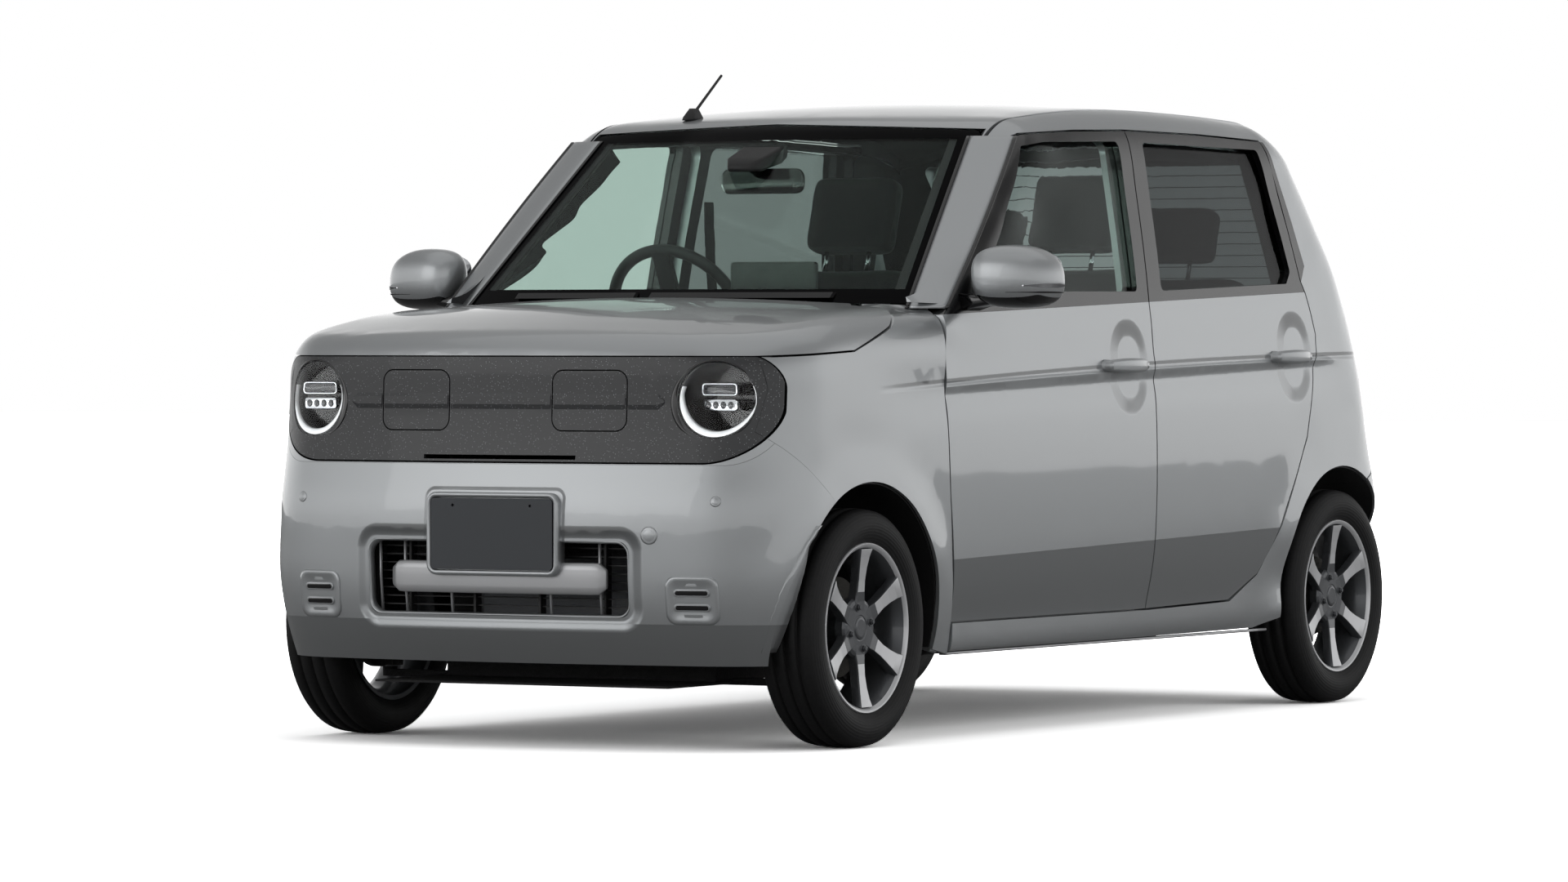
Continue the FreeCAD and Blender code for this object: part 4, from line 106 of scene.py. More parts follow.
# Studio: white walls all round for the camera, soft panels over and beside the car.
world = bpy.data.worlds.new("studio")
bpy.context.scene.world = world
world.use_nodes = True
tree = world.node_tree
tree.nodes.clear()
split = add(tree, "SeparateXYZ", {0: add(tree, "TexCoord").outputs["Generated"]})
height = add(tree, "MapRange", {0: split.outputs["Z"], 1: -0.04, 2: 0.50, 3: 1.45, 4: 0.30},
             interpolation_type="SMOOTHSTEP")
strength = add(tree, "Mix", {0: seen_rays(tree), 2: height, 3: 1.0})
white = add(tree, "Background", {"Color": (1, 1, 1, 1), "Strength": strength})
add(tree, "OutputWorld", {"Surface": white})


def soft_panel(name, place, aim, size, power):
    """A large soft light that looks at a point."""
    lamp = bpy.data.lights.new(name, "AREA")
    lamp.shape = "RECTANGLE"
    lamp.size, lamp.size_y = size
    lamp.energy = power
    panel = placed(name, lamp)
    panel.location = place
    panel.rotation_euler = (Vector(aim) - Vector(place)).to_track_quat("-Z", "Y").to_euler()
    panel.visible_camera = False
    return panel


soft_panel("overhead", (0.0, -0.2, 5.6), (0, 0, 0.8), (7.0, 10.0), 70)
soft_panel("front_fill", (-3.0, -7.5, 3.0), (0, -1.2, 0.7), (5.0, 3.6), 70)
side_lamp = soft_panel("left_fill", (8.0, 0.4, 3.4), (0.6, 0, 0.8), (9.0, 4.0), 190)
side_lamp.visible_glossy = False


def blank(name):
    """A new material, its empty tree and its object coordinates."""
    made = bpy.data.materials.new(name)
    made.use_nodes = True
    tree = made.node_tree
    tree.nodes.clear()
    return made, tree, add(tree, "TexCoord").outputs["Object"]


def copied(base, name):
    """A copy of a material, its tree, the input that its surface ends in and the shader that reaches it."""
    made = base.copy()
    made.name = name
    tree = made.node_tree
    end = next(n for n in tree.nodes if n.type == "OUTPUT_MATERIAL").inputs["Surface"]
    return made, tree, end, end.links[0].from_socket


# Floor: a white painted studio floor that keeps the car's soft shadow, and is paler far away.
FLOOR_REACH = 60
FLOOR_LEVEL = -0.0005
floor_mesh = bpy.data.meshes.new("studio_floor")
floor_mesh.from_pydata([(x * FLOOR_REACH, y * FLOOR_REACH, FLOOR_LEVEL)
                        for x, y in ((-1, -1), (1, -1), (1, 1), (-1, 1))], [], [(0, 1, 2, 3)])
studio_floor = placed("studio_floor", floor_mesh)
floor_paint, tree, place = blank("white_studio_floor_paint")
away = chain(tree, "VectorMath", place, ("LENGTH",)).outputs["Value"]
brighter = add(tree, "MapRange", {0: away, 1: 2.2, 2: 8.0, 3: 2.6, 4: 9.0})
tone = add(tree, "MapRange", {0: seen_rays(tree), 3: 0.24, 4: brighter})
add(tree, "OutputMaterial", {"Surface": add(tree, "BsdfDiffuse", {"Color": tone})})
floor_mesh.materials.append(floor_paint)


def grained(name, colour, roughness, grain, depth, metallic=0.0, coat=0.0, vary=0.06, sheen=0.0):
    """A finish with a fine grain: its size in millimetres and its depth as a share of the bump."""
    made, tree, place = blank(name)
    noise = add(tree, "TexNoise", {"Vector": place, "Scale": 1000.0 / grain, "Detail": 2.0}).outputs["Fac"]
    base = linear(colour)
    dark = [c * (1 - vary) for c in base[:3]] + [1]
    light = [min(1, c * (1 + vary)) for c in base[:3]] + [1]
    ramp = add(tree, "Mix", {0: noise, 6: dark, 7: light}, data_type="RGBA")
    rough = add(tree, "MapRange", {0: noise, 3: roughness * 0.9, 4: roughness * 1.1})
    bump = add(tree, "Bump", {"Height": noise, "Strength": depth, "Distance": grain / 1000.0})
    surface = add(tree, "BsdfPrincipled", {
        "Base Color": ramp.outputs[2], "Metallic": metallic, "Roughness": rough, "Normal": bump,
        "Coat Weight": coat, "Coat Roughness": 0.04, "Sheen Weight": sheen})
    add(tree, "OutputMaterial", {"Surface": surface})
    return made


def finish(piece, *materials):
    """Give a piece its materials in slot order; its faces keep their slots."""
    slots = piece.data.materials
    faces = getattr(piece.data, "polygons", ())
    kept = [face.material_index for face in faces]
    slots.clear()
    for made in materials:
        slots.append(made)
    if len(materials) > 1:
        faces.foreach_set("material_index", kept)


def dress(made, *names):
    """Give CAD nodes one material."""
    for name in names:
        finish(nodes[name], made)


# Painted steel: silver base coat with fine aluminium flakes under a clear coat, sprayed and baked.
silver_paint = grained("silver_metallic_paint", "#A9ACAE", 0.40, 1.6, 0.04, metallic=0.75, coat=0.8, vary=0.03)


def pressed(name, forms):
    """Silver paint over pressed forms: each adds its height in metres at a place on the panel."""
    made, tree, _, _ = copied(silver_paint, name)
    grain = next(n for n in tree.nodes if n.type == "BUMP")
    place = add(tree, "TexCoord").outputs["Object"]
    height = forms[0](tree, place)
    for form in forms[1:]:
        height = chain(tree, "Math", height, ("ADD", form(tree, place)))
    shape = add(tree, "Bump", {"Height": height, "Strength": 1.0, "Distance": 1.0})
    tree.links.new(shape.outputs[0], grain.inputs["Normal"])
    return made


def hollow(centre, size, radius, wall, depth, across=0):
    """A rounded rectangle pressed in, the same on both sides of the car; across names its first axis."""
    flat, middle, half = [0.0, 0.0, 1.0], [0.0, 0.0, centre[1]], [0.0, 0.0, size[1] / 2 - radius]
    flat[across], middle[across], half[across] = 1.0, centre[0], size[0] / 2 - radius

    def form(tree, place):
        if across == 0:
            place = chain(tree, "VectorMath", place, ("ABSOLUTE",))
        far = chain(tree, "VectorMath", place, ("SUBTRACT", middle), ("ABSOLUTE",), ("SUBTRACT", half),
                    ("MAXIMUM", (0, 0, 0)), ("MULTIPLY", flat), ("LENGTH",)).outputs["Value"]
        return add(tree, "MapRange", {0: far, 1: radius, 2: radius + wall, 3: -depth, 4: 0.0},
                   interpolation_type="SMOOTHSTEP")

    return form


def groove(level, slope, bend, width, depth, start, end):
    """A soft line pressed along the side, at level + slope y + bend y y; it fades in from start to end."""
    def form(tree, place):
        at = add(tree, "SeparateXYZ", {0: place}).outputs
        line = chain(tree, "Math", at["Y"], ("MULTIPLY_ADD", bend, slope))
        line = chain(tree, "Math", at["Y"], ("MULTIPLY_ADD", line, level))
        off = chain(tree, "Math", at["Z"], ("SUBTRACT", line), ("ABSOLUTE",))
        dip = add(tree, "MapRange", {0: off, 1: 0.0, 2: width, 3: -depth, 4: 0.0}, interpolation_type="SMOOTHSTEP")
        return chain(tree, "Math", dip, ("MULTIPLY", add(tree, "MapRange", {0: at["Y"], 1: start, 2: end})))

    return form


def undercut(level, slope, lean):
    """Below a line the panel leans in by a share of the drop."""
    def form(tree, place):
        at = add(tree, "SeparateXYZ", {0: place}).outputs
        return chain(tree, "Math", at["Y"], ("MULTIPLY_ADD", -slope, at["Z"]), ("SUBTRACT", level),
                     ("MINIMUM", 0.0), ("MULTIPLY", lean))

    return form


CHARACTER_LINE = groove(0.8775, 0.0318, -0.0083, 0.011, 0.0034, -1.16, -0.86)
LOWER_CREASE = undercut(0.4452, 0.0218, 0.34)
HANDLE_DISH = ((0.112, 0.148), 0.050, 0.046, 0.024)
flank_paint = pressed("silver_paint_on_pressed_flank", [CHARACTER_LINE])
door_base = pressed("silver_paint_on_pressed_door", [
    CHARACTER_LINE, LOWER_CREASE, hollow((0.105, 0.880), *HANDLE_DISH, across=1),
    hollow((1.050, 0.902), *HANDLE_DISH, across=1)])


def beyond(tree, first, second, rule):
    """1 where a first + b second + c is over nought."""
    a, b, c = rule
    line = chain(tree, "Math", first, ("MULTIPLY_ADD", a, c))
    return chain(tree, "Math", second, ("MULTIPLY_ADD", b, line), ("GREATER_THAN", 0.0))


def panelled(name, base, black_rules):
    """Silver paint outside, dark trim on the cabin side, and gloss black where all rules in side view hold."""
    made, tree, end, last = copied(base, name)
    place = add(tree, "TexCoord").outputs
    at = add(tree, "SeparateXYZ", {0: place["Object"]}).outputs
    facing = add(tree, "SeparateXYZ", {0: place["Normal"]}).outputs
    mask = beyond(tree, at["Y"], at["Z"], black_rules[0])
    for rule in black_rules[1:]:
        mask = chain(tree, "Math", mask, ("MULTIPLY", beyond(tree, at["Y"], at["Z"], rule)))
    gloss = add(tree, "BsdfPrincipled", {"Base Color": linear("#0B0B0C"), "Roughness": 0.22, "Coat Weight": 0.3})
    grain = add(tree, "TexNoise", {"Vector": place["Object"], "Scale": 700.0}).outputs["Fac"]
    pits = add(tree, "Bump", {"Height": grain, "Strength": 0.25, "Distance": 0.0004})
    shade = add(tree, "Mix", {0: grain, 6: linear("#1D1E20"), 7: linear("#2A2B2D")}, data_type="RGBA")
    trim = add(tree, "BsdfPrincipled", {"Base Color": shade.outputs[2], "Roughness": 0.62, "Normal": pits})
    inward = chain(tree, "Math", at["X"], ("MULTIPLY", facing["X"]), ("LESS_THAN", -0.12))
    last = add(tree, "MixShader", {0: mask, 1: last, 2: gloss})
    last = add(tree, "MixShader", {0: inward, 1: last, 2: trim})
    tree.links.new(last.outputs[0], end)
    return made


# Doors and body sides: pressed steel with the window frames and pillars in gloss black.
BELT_RULE = (-0.03157, 1.0, -1.0335)
QUARTER_RULES = [(-1.0, -0.3565, 1.5737), (1.0, 0.0, -0.95), (0.0, -1.0, 1.457), (-1.2642, 1.0, 0.3386)]
dress(panelled("door_paint_with_black_frame", door_base, [BELT_RULE]),
      "front_door_left", "front_door_right", "rear_door_left", "rear_door_right")
dress(panelled("body_side_paint_with_black_garnish", flank_paint, QUARTER_RULES), "body_side_left", "body_side_right")

# Hood and bumpers: the same silver paint, over the forms pressed round the grille and plate.
GRILLE = (0.0, 0.3975, 0.708, 0.175)
VENT = (0.507, 0.352)
bumper_paint = pressed("silver_paint_on_moulded_bumper", [
    undercut(0.296, 0.0, 0.45), hollow(GRILLE[:2], (GRILLE[2] + 0.012, GRILLE[3] + 0.012), 0.030, 0.030, 0.017),
    hollow((0.0, 0.499), (0.366, 0.200), 0.018, 0.010, 0.004)])
dress(silver_paint, "hood")
dress(bumper_paint, "front_bumper")
dress(pressed("silver_paint_on_rear_bumper", [undercut(0.330, 0.0, 0.40)]), "rear_bumper")


def lined(name, axis, limit, colour, roughness, grain):
    """Silver paint outside and a soft dark lining on the faces that look into the cabin."""
    made, tree, end, first = copied(silver_paint, name)
    place = add(tree, "TexCoord").outputs
    facing = add(tree, "SeparateXYZ", {0: place["Normal"]})
    inside = chain(tree, "Math", facing.outputs[axis], ("LESS_THAN", limit))
    felt = add(tree, "TexNoise", {"Vector": place["Object"], "Scale": 1000 / grain}).outputs["Fac"]
    nap = add(tree, "Bump", {"Height": felt, "Strength": 0.4, "Distance": grain / 1000})
    lining = add(tree, "BsdfPrincipled", {"Base Color": linear(colour), "Roughness": roughness, "Normal": nap})
    last = add(tree, "MixShader", {0: inside, 1: first, 2: lining})
    tree.links.new(last.outputs[0], end)
    return made


# Roof skin with its felt headliner inside, and the tailgate with its moulded inner trim.
dress(lined("roof_paint_and_headliner", "Z", -0.1, "#2E2E2F", 0.95, 1.6), "roof_panel")
dress(lined("tailgate_paint_and_trim", "Y", -0.15, "#232426", 0.7, 1.4), "tailgate")

# Face panel and charge lids: moulded ABS in charcoal with fine pale flecks under clear lacquer.
face_plastic, tree, place = blank("charcoal_abs_with_pale_flecks")
cells = add(tree, "TexVoronoi", {"Vector": place, "Scale": 230.0}).outputs
pick = add(tree, "SeparateColor", {0: cells["Color"]})
few = chain(tree, "Math", pick, ("GREATER_THAN", 0.55))
fleck = chain(tree, "Math", cells["Distance"], ("LESS_THAN", 0.20), ("MULTIPLY", few))
colour = add(tree, "Mix", {0: fleck, 6: linear("#2F3032"), 7: linear("#8E9194")}, data_type="RGBA")
grain = add(tree, "TexNoise", {"Vector": place, "Scale": 900.0}).outputs["Fac"]
bump = add(tree, "Bump", {"Height": grain, "Strength": 0.25, "Distance": 0.0005})
surface = add(tree, "BsdfPrincipled", {"Base Color": colour.outputs[2], "Roughness": 0.42, "Normal": bump,
                                       "Coat Weight": 0.15})
add(tree, "OutputMaterial", {"Surface": surface})
dress(face_plastic, "charge_lid_left", "charge_lid_right")

# The face's rounded outer edge, below and above: middle and reach across the car, middle and reach in height.
FACE_CORNERS = ((0.520, 0.159, 0.800, -0.1355), (0.600, 0.079, 0.835, 0.080))
FACE_LINE = 0.016


def face_edge(name, base, cover, inside):
    """A finish with another one inside or outside the face panel's rounded edge, and a near-black line painted along it
    as the shade of a shut gap that the meshes do not have.
    """
    made, tree, end, first = copied(base, name)
    copies = {}
    for node in cover.node_tree.nodes:
        if node.type != "OUTPUT_MATERIAL":
            fresh = tree.nodes.new(node.bl_idname)
            for key in ("operation", "data_type", "interpolation_type", "feature", "distance"):
                if hasattr(node, key):
                    setattr(fresh, key, getattr(node, key))
            for old_socket, new_socket in zip(node.inputs, fresh.inputs):
                if hasattr(old_socket, "default_value"):
                    new_socket.default_value = old_socket.default_value
            copies[node.name] = fresh
    second = None
    for link in cover.node_tree.links:
        outlet = copies[link.from_node.name].outputs[list(link.from_node.outputs).index(link.from_socket)]
        if link.to_node.type == "OUTPUT_MATERIAL":
            second = outlet
        else:
            inlet = list(link.to_node.inputs).index(link.to_socket)
            tree.links.new(outlet, copies[link.to_node.name].inputs[inlet])
    at = add(tree, "SeparateXYZ", {0: add(tree, "TexCoord").outputs["Object"]}).outputs
    across = chain(tree, "Math", at["X"], ("ABSOLUTE",))
    reach = []
    for middle, reach_x, level, reach_z in FACE_CORNERS:
        u = add(tree, "MapRange", {0: across, 1: middle, 2: middle + 10 * reach_x, 3: 0.0, 4: 10.0})
        v = add(tree, "MapRange", {0: at["Z"], 1: level, 2: level + 10 * reach_z, 3: 0.0, 4: 10.0})
        pair = add(tree, "CombineXYZ", {0: u, 1: v})
        reach.append(chain(tree, "VectorMath", pair, ("LENGTH",)).outputs["Value"])
    far = chain(tree, "Math", reach[0], ("MAXIMUM", reach[1]))
    mask = chain(tree, "Math", far, ("LESS_THAN" if inside else "GREATER_THAN", 1.0))
    last = add(tree, "MixShader", {0: mask, 1: first, 2: second})
    # Painted shade: a near-black line along the edge stands in for the shadow in a shut gap.
    painted_seam_shade = chain(tree, "Math", far, ("SUBTRACT", 1.0), ("ABSOLUTE",), ("LESS_THAN", FACE_LINE))
    shadow = add(tree, "BsdfDiffuse", {"Color": linear("#060606")})
    last = add(tree, "MixShader", {0: painted_seam_shade, 1: last, 2: shadow})
    tree.links.new(last.outputs[0], end)
    return made


dress(face_edge("charcoal_face_with_painted_corner", face_plastic, silver_paint, False), "face_panel")
dress(face_edge("fender_paint_with_charcoal_corner", flank_paint, face_plastic, True),
      "front_fender_left", "front_fender_right")

# Black moulded plastics: cowl, liners and grille, with a fine spark-eroded grain.
black_plastic = grained("black_moulded_polypropylene", "#151516", 0.55, 1.2, 0.25, vary=0.2)
gloss_black = grained("gloss_black_abs", "#0C0C0D", 0.18, 2.0, 0.02, coat=0.4, vary=0.15)
dress(black_plastic, "charge_ports", "cowl", "wipers", "antenna", "lower_grille")

# The liners are clear where they would show past the bumper's corner.
LINER_TRIM_X = 0.640
LINER_TRIM_Y = -1.490
liner_plastic, tree, end, first = copied(black_plastic, "black_liner_trimmed_at_bumper")
at = add(tree, "SeparateXYZ", {0: add(tree, "TexCoord").outputs["Object"]}).outputs
ahead = chain(tree, "Math", at["Y"], ("LESS_THAN", LINER_TRIM_Y))
trimmed = chain(tree, "Math", at["X"], ("ABSOLUTE",), ("GREATER_THAN", LINER_TRIM_X), ("MULTIPLY", ahead))
last = add(tree, "MixShader", {0: trimmed, 1: first, 2: add(tree, "BsdfTransparent")})
tree.links.new(last.outputs[0], end)
dress(liner_plastic, "wheel_liners")

# Under the car: sealed steel, cast iron knuckles and a cast aluminium motor housing. The battery pack's case takes the
# same dark sealer, dark partly as painted shade, so that where it shows below the sill it reads as the shadow under the
# car.
under_coat = grained("underbody_sealer", "#1C1C1D", 0.8, 4.0, 0.5, vary=0.25)
cast_metal = grained("sand_cast_iron", "#4A4946", 0.62, 2.5, 0.5, metallic=0.8, vary=0.2)
cast_alloy = grained("die_cast_aluminium", "#7B7D80", 0.5, 2.0, 0.35, metallic=0.9, vary=0.12)
dress(under_coat, "undertray", "floor", "front_subframe", "rear_axle", "battery_pack")
dress(cast_metal, "knuckle_left", "knuckle_right")
dress(cast_alloy, "drive_unit")


# Windows: tempered and laminated glass, green tinted in front and dark behind, with a black
# ceramic edge fired on round the screens.
def pane(name, tint, edge_rules=(), wires=None):
    """Clear glass of a tint, black where any rule in front view holds, with heating wires so far apart."""
    made, tree, place = blank(name)
    ripple = add(tree, "TexNoise", {"Vector": place, "Scale": 1.2}).outputs["Fac"]
    bump = add(tree, "Bump", {"Height": ripple, "Strength": 0.02, "Distance": 0.01})
    last = add(tree, "BsdfPrincipled", {
        "Base Color": linear(tint), "Roughness": 0.0, "IOR": 1.14, "Transmission Weight": 1.0, "Normal": bump})
    if edge_rules:
        at = add(tree, "SeparateXYZ", {0: place}).outputs
        side = chain(tree, "Math", at["X"], ("ABSOLUTE",))
        mask = beyond(tree, side, at["Z"], edge_rules[0])
        for rule in edge_rules[1:]:
            mask = chain(tree, "Math", mask, ("MAXIMUM", beyond(tree, side, at["Z"], rule)))
        if wires:
            line = chain(tree, "Math", at["Z"], ("PINGPONG", wires), ("LESS_THAN", 0.0009))
            mask = chain(tree, "Math", mask, ("MAXIMUM", line))
        black = add(tree, "BsdfPrincipled", {"Base Color": linear("#050506"), "Roughness": 0.12,
                                             "Specular IOR Level": 0.03})
        last = add(tree, "MixShader", {0: mask, 1: last, 2: black})
    add(tree, "OutputMaterial", {"Surface": last})
    return made


SCREEN_EDGES = [(0.9733, 0.2296, -0.8137), (0.0, 1.0, -1.437), (0.0, -1.0, 1.068)]
TAIL_EDGES = [(0.9770, 0.2132, -0.7400), (0.0, 1.0, -1.405), (0.0, -1.0, 1.065)]
dress(pane("green_laminated_glass", "#C6D6CF", SCREEN_EDGES), "windscreen")
dress(pane("green_tempered_glass", "#D3E1DC"), "front_door_glass_left", "front_door_glass_right")
dress(pane("dark_tempered_glass", "#7E8484"), "rear_door_glass_left", "rear_door_glass_right")
dress(pane("dark_rear_glass", "#7E8484", TAIL_EDGES, wires=0.015), "tailgate_glass")
dress(pane("clear_polycarbonate", "#FBFCFC"), "headlamp_covers")

# Bar and plates: silver lacquer on the plastic bar, stoved enamel on the blank plates.
satin_silver = grained("satin_silver_paint", "#B4B5B7", 0.36, 1.4, 0.05, metallic=0.5, coat=0.4, vary=0.03)
plate_paint = grained("dark_grey_enamel", "#3A3D41", 0.42, 1.5, 0.06, metallic=0.2, vary=0.05)
dress(satin_silver, "grille_bar")
dress(plate_paint, "front_plate", "rear_plate")


def keep(name, mesh, body, slot, *materials):
    """Put a finished mesh in the scene with its materials, and let it ride on its body; the slot is not used."""
    piece = placed(name, mesh)
    finish(piece, *materials)
    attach(piece, body)
    return piece


def shaded(mesh, smooth=True):
    """Shade all faces smooth or flat."""
    mesh.polygons.foreach_set("use_smooth", [smooth] * len(mesh.polygons))
    return mesh


def taken(work, name):
    """A mesh made of finished edit data, its normals outward."""
    bmesh.ops.recalc_face_normals(work, faces=work.faces)
    mesh = bpy.data.meshes.new(name)
    work.to_mesh(mesh)
    work.free()
    return mesh


def mesh_of(name, points, faces, smooth=True):
    """A mesh over points, with doubled ones joined."""
    raw = bpy.data.meshes.new(name + "_raw")
    raw.from_pydata([tuple(p) for p in points], [], faces)
    work = bmesh.new()
    work.from_mesh(raw)
    bpy.data.meshes.remove(raw)
    bmesh.ops.remove_doubles(work, verts=work.verts, dist=1e-6)
    return shaded(taken(work, name), smooth)


def circle(steps):
    """Points of a circle of radius one, anticlockwise."""
    return [(math.cos(2 * math.pi * j / steps), math.sin(2 * math.pi * j / steps)) for j in range(steps)]


def turned_mesh(name, profile, centre, side, steps, closed=True):
    """A mesh turned about the axle from (across, radius) points in millimetres."""
    points = [(centre[0] + side * x / 1000, centre[1] + r / 1000 * c, centre[2] + r / 1000 * s)
              for c, s in circle(steps) for x, r in profile]
    n = len(profile)
    faces = []
    for i in range(steps):
        j = (i + 1) % steps
        for k in range(n if closed else n - 1):
            m = (k + 1) % n
            faces.append((i * n + k, i * n + m, j * n + m, j * n + k))
    return mesh_of(name, points, faces)


def loft(name, loops, caps=True, around=False, smooth=True):
    """A closed mesh over rings of points; around joins the last ring to the first."""
    n = len(loops[0])
    count = len(loops)
    faces = []
    for i in range(count if around else count - 1):
        a = i * n
        b = ((i + 1) % count) * n
        for j in range(n):
            k = (j + 1) % n
            faces.append((a + j, a + k, b + k, b + j))
    if caps and not around:
        faces.append(tuple(range(n))[::-1])
        faces.append(tuple(range((count - 1) * n, count * n)))
    return mesh_of(name, [p for ring in loops for p in ring], faces, smooth)


def lofted(name, loops, body, slot, *materials, **how):
    """A piece over rings of points."""
    return keep(name, loft(name, loops, **how), body, slot, *materials)


def rounded_loop(width, height, radius, steps=6):
    """A rounded rectangle about the middle, anticlockwise."""
    points = []
    for cx, cy, start in ((1, 1, 0), (-1, 1, 90), (-1, -1, 180), (1, -1, 270)):
        for i in range(steps + 1):
            angle = math.radians(start + 90 * i / steps)
            points.append((cx * (width / 2 - radius) + radius * math.cos(angle),
                           cy * (height / 2 - radius) + radius * math.sin(angle)))
    return points


def level_face(y):
    """A surface that stands at one place along the car."""
    return lambda x, z: y


def face_loops(x, z, face, rows, steps=6, side=1):
    """Rounded rectangles on a surface that looks forward, as rows of width, height, corner and depth."""
    return [[(side * (x + u), face(x + u, z + v) + back, z + v) for u, v in rounded_loop(*shape, steps)]
            for *shape, back in rows]


# Tyres: black rubber on each rim, its tread cut by three grooves and fine sipes.
TYRE_PROFILE = [(-62, 192), (-63, 198), (-69, 205), (-75, 218), (-77.5, 232), (-76.5, 246), (-72, 260), (-67, 268),
                (-61, 273.4), (-48, 276.2), (-37, 277.2), (-36, 270.5), (-29, 270.6), (-28, 278), (-4.5, 278.5),
                (-3.5, 271), (3.5, 271), (4.5, 278.5), (28, 278), (29, 270.6), (36, 270.5), (37, 277.2), (48, 276.2),
                (61, 273.4), (67, 268), (72, 260), (76.5, 246), (77.5, 232), (75, 218), (69, 205), (63, 198), (62, 192)]
TYRE_STEPS = 96
SIPES = 72
TREAD_HALF = 0.066
tyre_rubber, tree, place = blank("vulcanised_black_rubber")
turn, across, radius = [add(tree, "Attribute", attribute_name=name, attribute_type="GEOMETRY").outputs["Fac"]
                        for name in ("turn", "across", "radius")]
cut = chain(tree, "Math", across, ("MULTIPLY_ADD", 9.0, turn), ("FRACT",), ("GREATER_THAN", 0.2))
sipes = chain(tree, "Math", across, ("ABSOLUTE",), ("LESS_THAN", TREAD_HALF), ("MULTIPLY_ADD", cut, 1.0))
ring = chain(tree, "Math", radius, ("MULTIPLY", 900.0), ("SINE",), ("MULTIPLY_ADD", 0.12, sipes))
bump = add(tree, "Bump", {"Height": ring, "Strength": 0.7, "Distance": 0.0015})
dust = add(tree, "TexNoise", {"Vector": place, "Scale": 60.0, "Detail": 4.0}).outputs["Fac"]
shade = add(tree, "Mix", {0: dust, 6: linear("#0D0D0E"), 7: linear("#171718")}, data_type="RGBA")
surface = add(tree, "BsdfPrincipled", {"Base Color": shade.outputs[2], "Roughness": 0.62,
                                       "Specular IOR Level": 0.35, "Normal": bump})
add(tree, "OutputMaterial", {"Surface": surface})

WHEELS = {}
for corner in ("front_left", "front_right", "rear_left", "rear_right"):
    low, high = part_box("tyre_" + corner)
    WHEELS[corner] = ((low + high) / 2, 1 if corner.endswith("left") else -1)
for corner, (centre, side) in WHEELS.items():
    mesh = turned_mesh("tyre_" + corner + "_rubber", TYRE_PROFILE, centre, side, TYRE_STEPS)
    values = {"turn": [], "across": [], "radius": []}
    for name in values:
        mesh.attributes.new(name, "FLOAT", "CORNER")
    for face in mesh.polygons:
        spots = [mesh.vertices[v].co - centre for v in face.vertices]
        angles = [math.atan2(p.z, p.y) / (2 * math.pi) * SIPES % SIPES for p in spots]
        if max(angles) - min(angles) > SIPES / 2:
            angles = [a + SIPES if a < SIPES / 2 else a for a in angles]
        values["turn"] += angles
        values["across"] += [p.x for p in spots]
        values["radius"] += [math.hypot(p.y, p.z) for p in spots]
    for name, data in values.items():
        mesh.attributes[name].data.foreach_set("value", data)
    tyre = keep("tyre_" + corner + "_dressed", mesh, "wheel_" + corner, "rubber", tyre_rubber)
    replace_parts(tyre, "tyre_" + corner)

# Rims: cast aluminium, painted dark grey, with the six spoke faces and the rim edge machined bright.
machined = grained("machined_aluminium", "#C4C5C7", 0.36, 0.9, 0.06, metallic=0.45, coat=0.3, vary=0.04)
rim_paint = grained("dark_grey_wheel_paint", "#56585B", 0.40, 1.5, 0.05, metallic=0.7, coat=0.4, vary=0.06)
RIM_PROFILE = [(68, 197), (63.5, 199), (62, 197), (60, 192), (48, 186), (30, 178), (-30, 176), (-62, 190), (-64, 197),
               (-68, 197), (-66, 186), (-32, 171), (28, 172), (46, 179), (60, 186.5), (66, 191)]
HUB_PROFILE = [(50.5, 0), (50.5, 20), (49.5, 25), (47.5, 26.5), (47.0, 28), (48.0, 31), (47.5, 60), (45, 68), (39, 72),
               (20, 72), (14, 60), (-30, 58), (-30, 0)]
# Spokes: radius, width and rise in millimetres, and their section as shares of half the width and depth in metres.
SPOKE_STATIONS = [(30, 45, 0), (62, 43, 1), (84, 34, 3), (110, 31, 5), (140, 36, 9), (166, 45, 14), (184, 56, 19)]
SPOKE_SECTION = ((-0.93, 0.0), (0.93, 0.0), (1, -0.0035), (1.12, -0.022), (-1.12, -0.022), (-1, -0.0035))
SPOKE_FACE = 0.0475
BRIGHT_FROM = 84
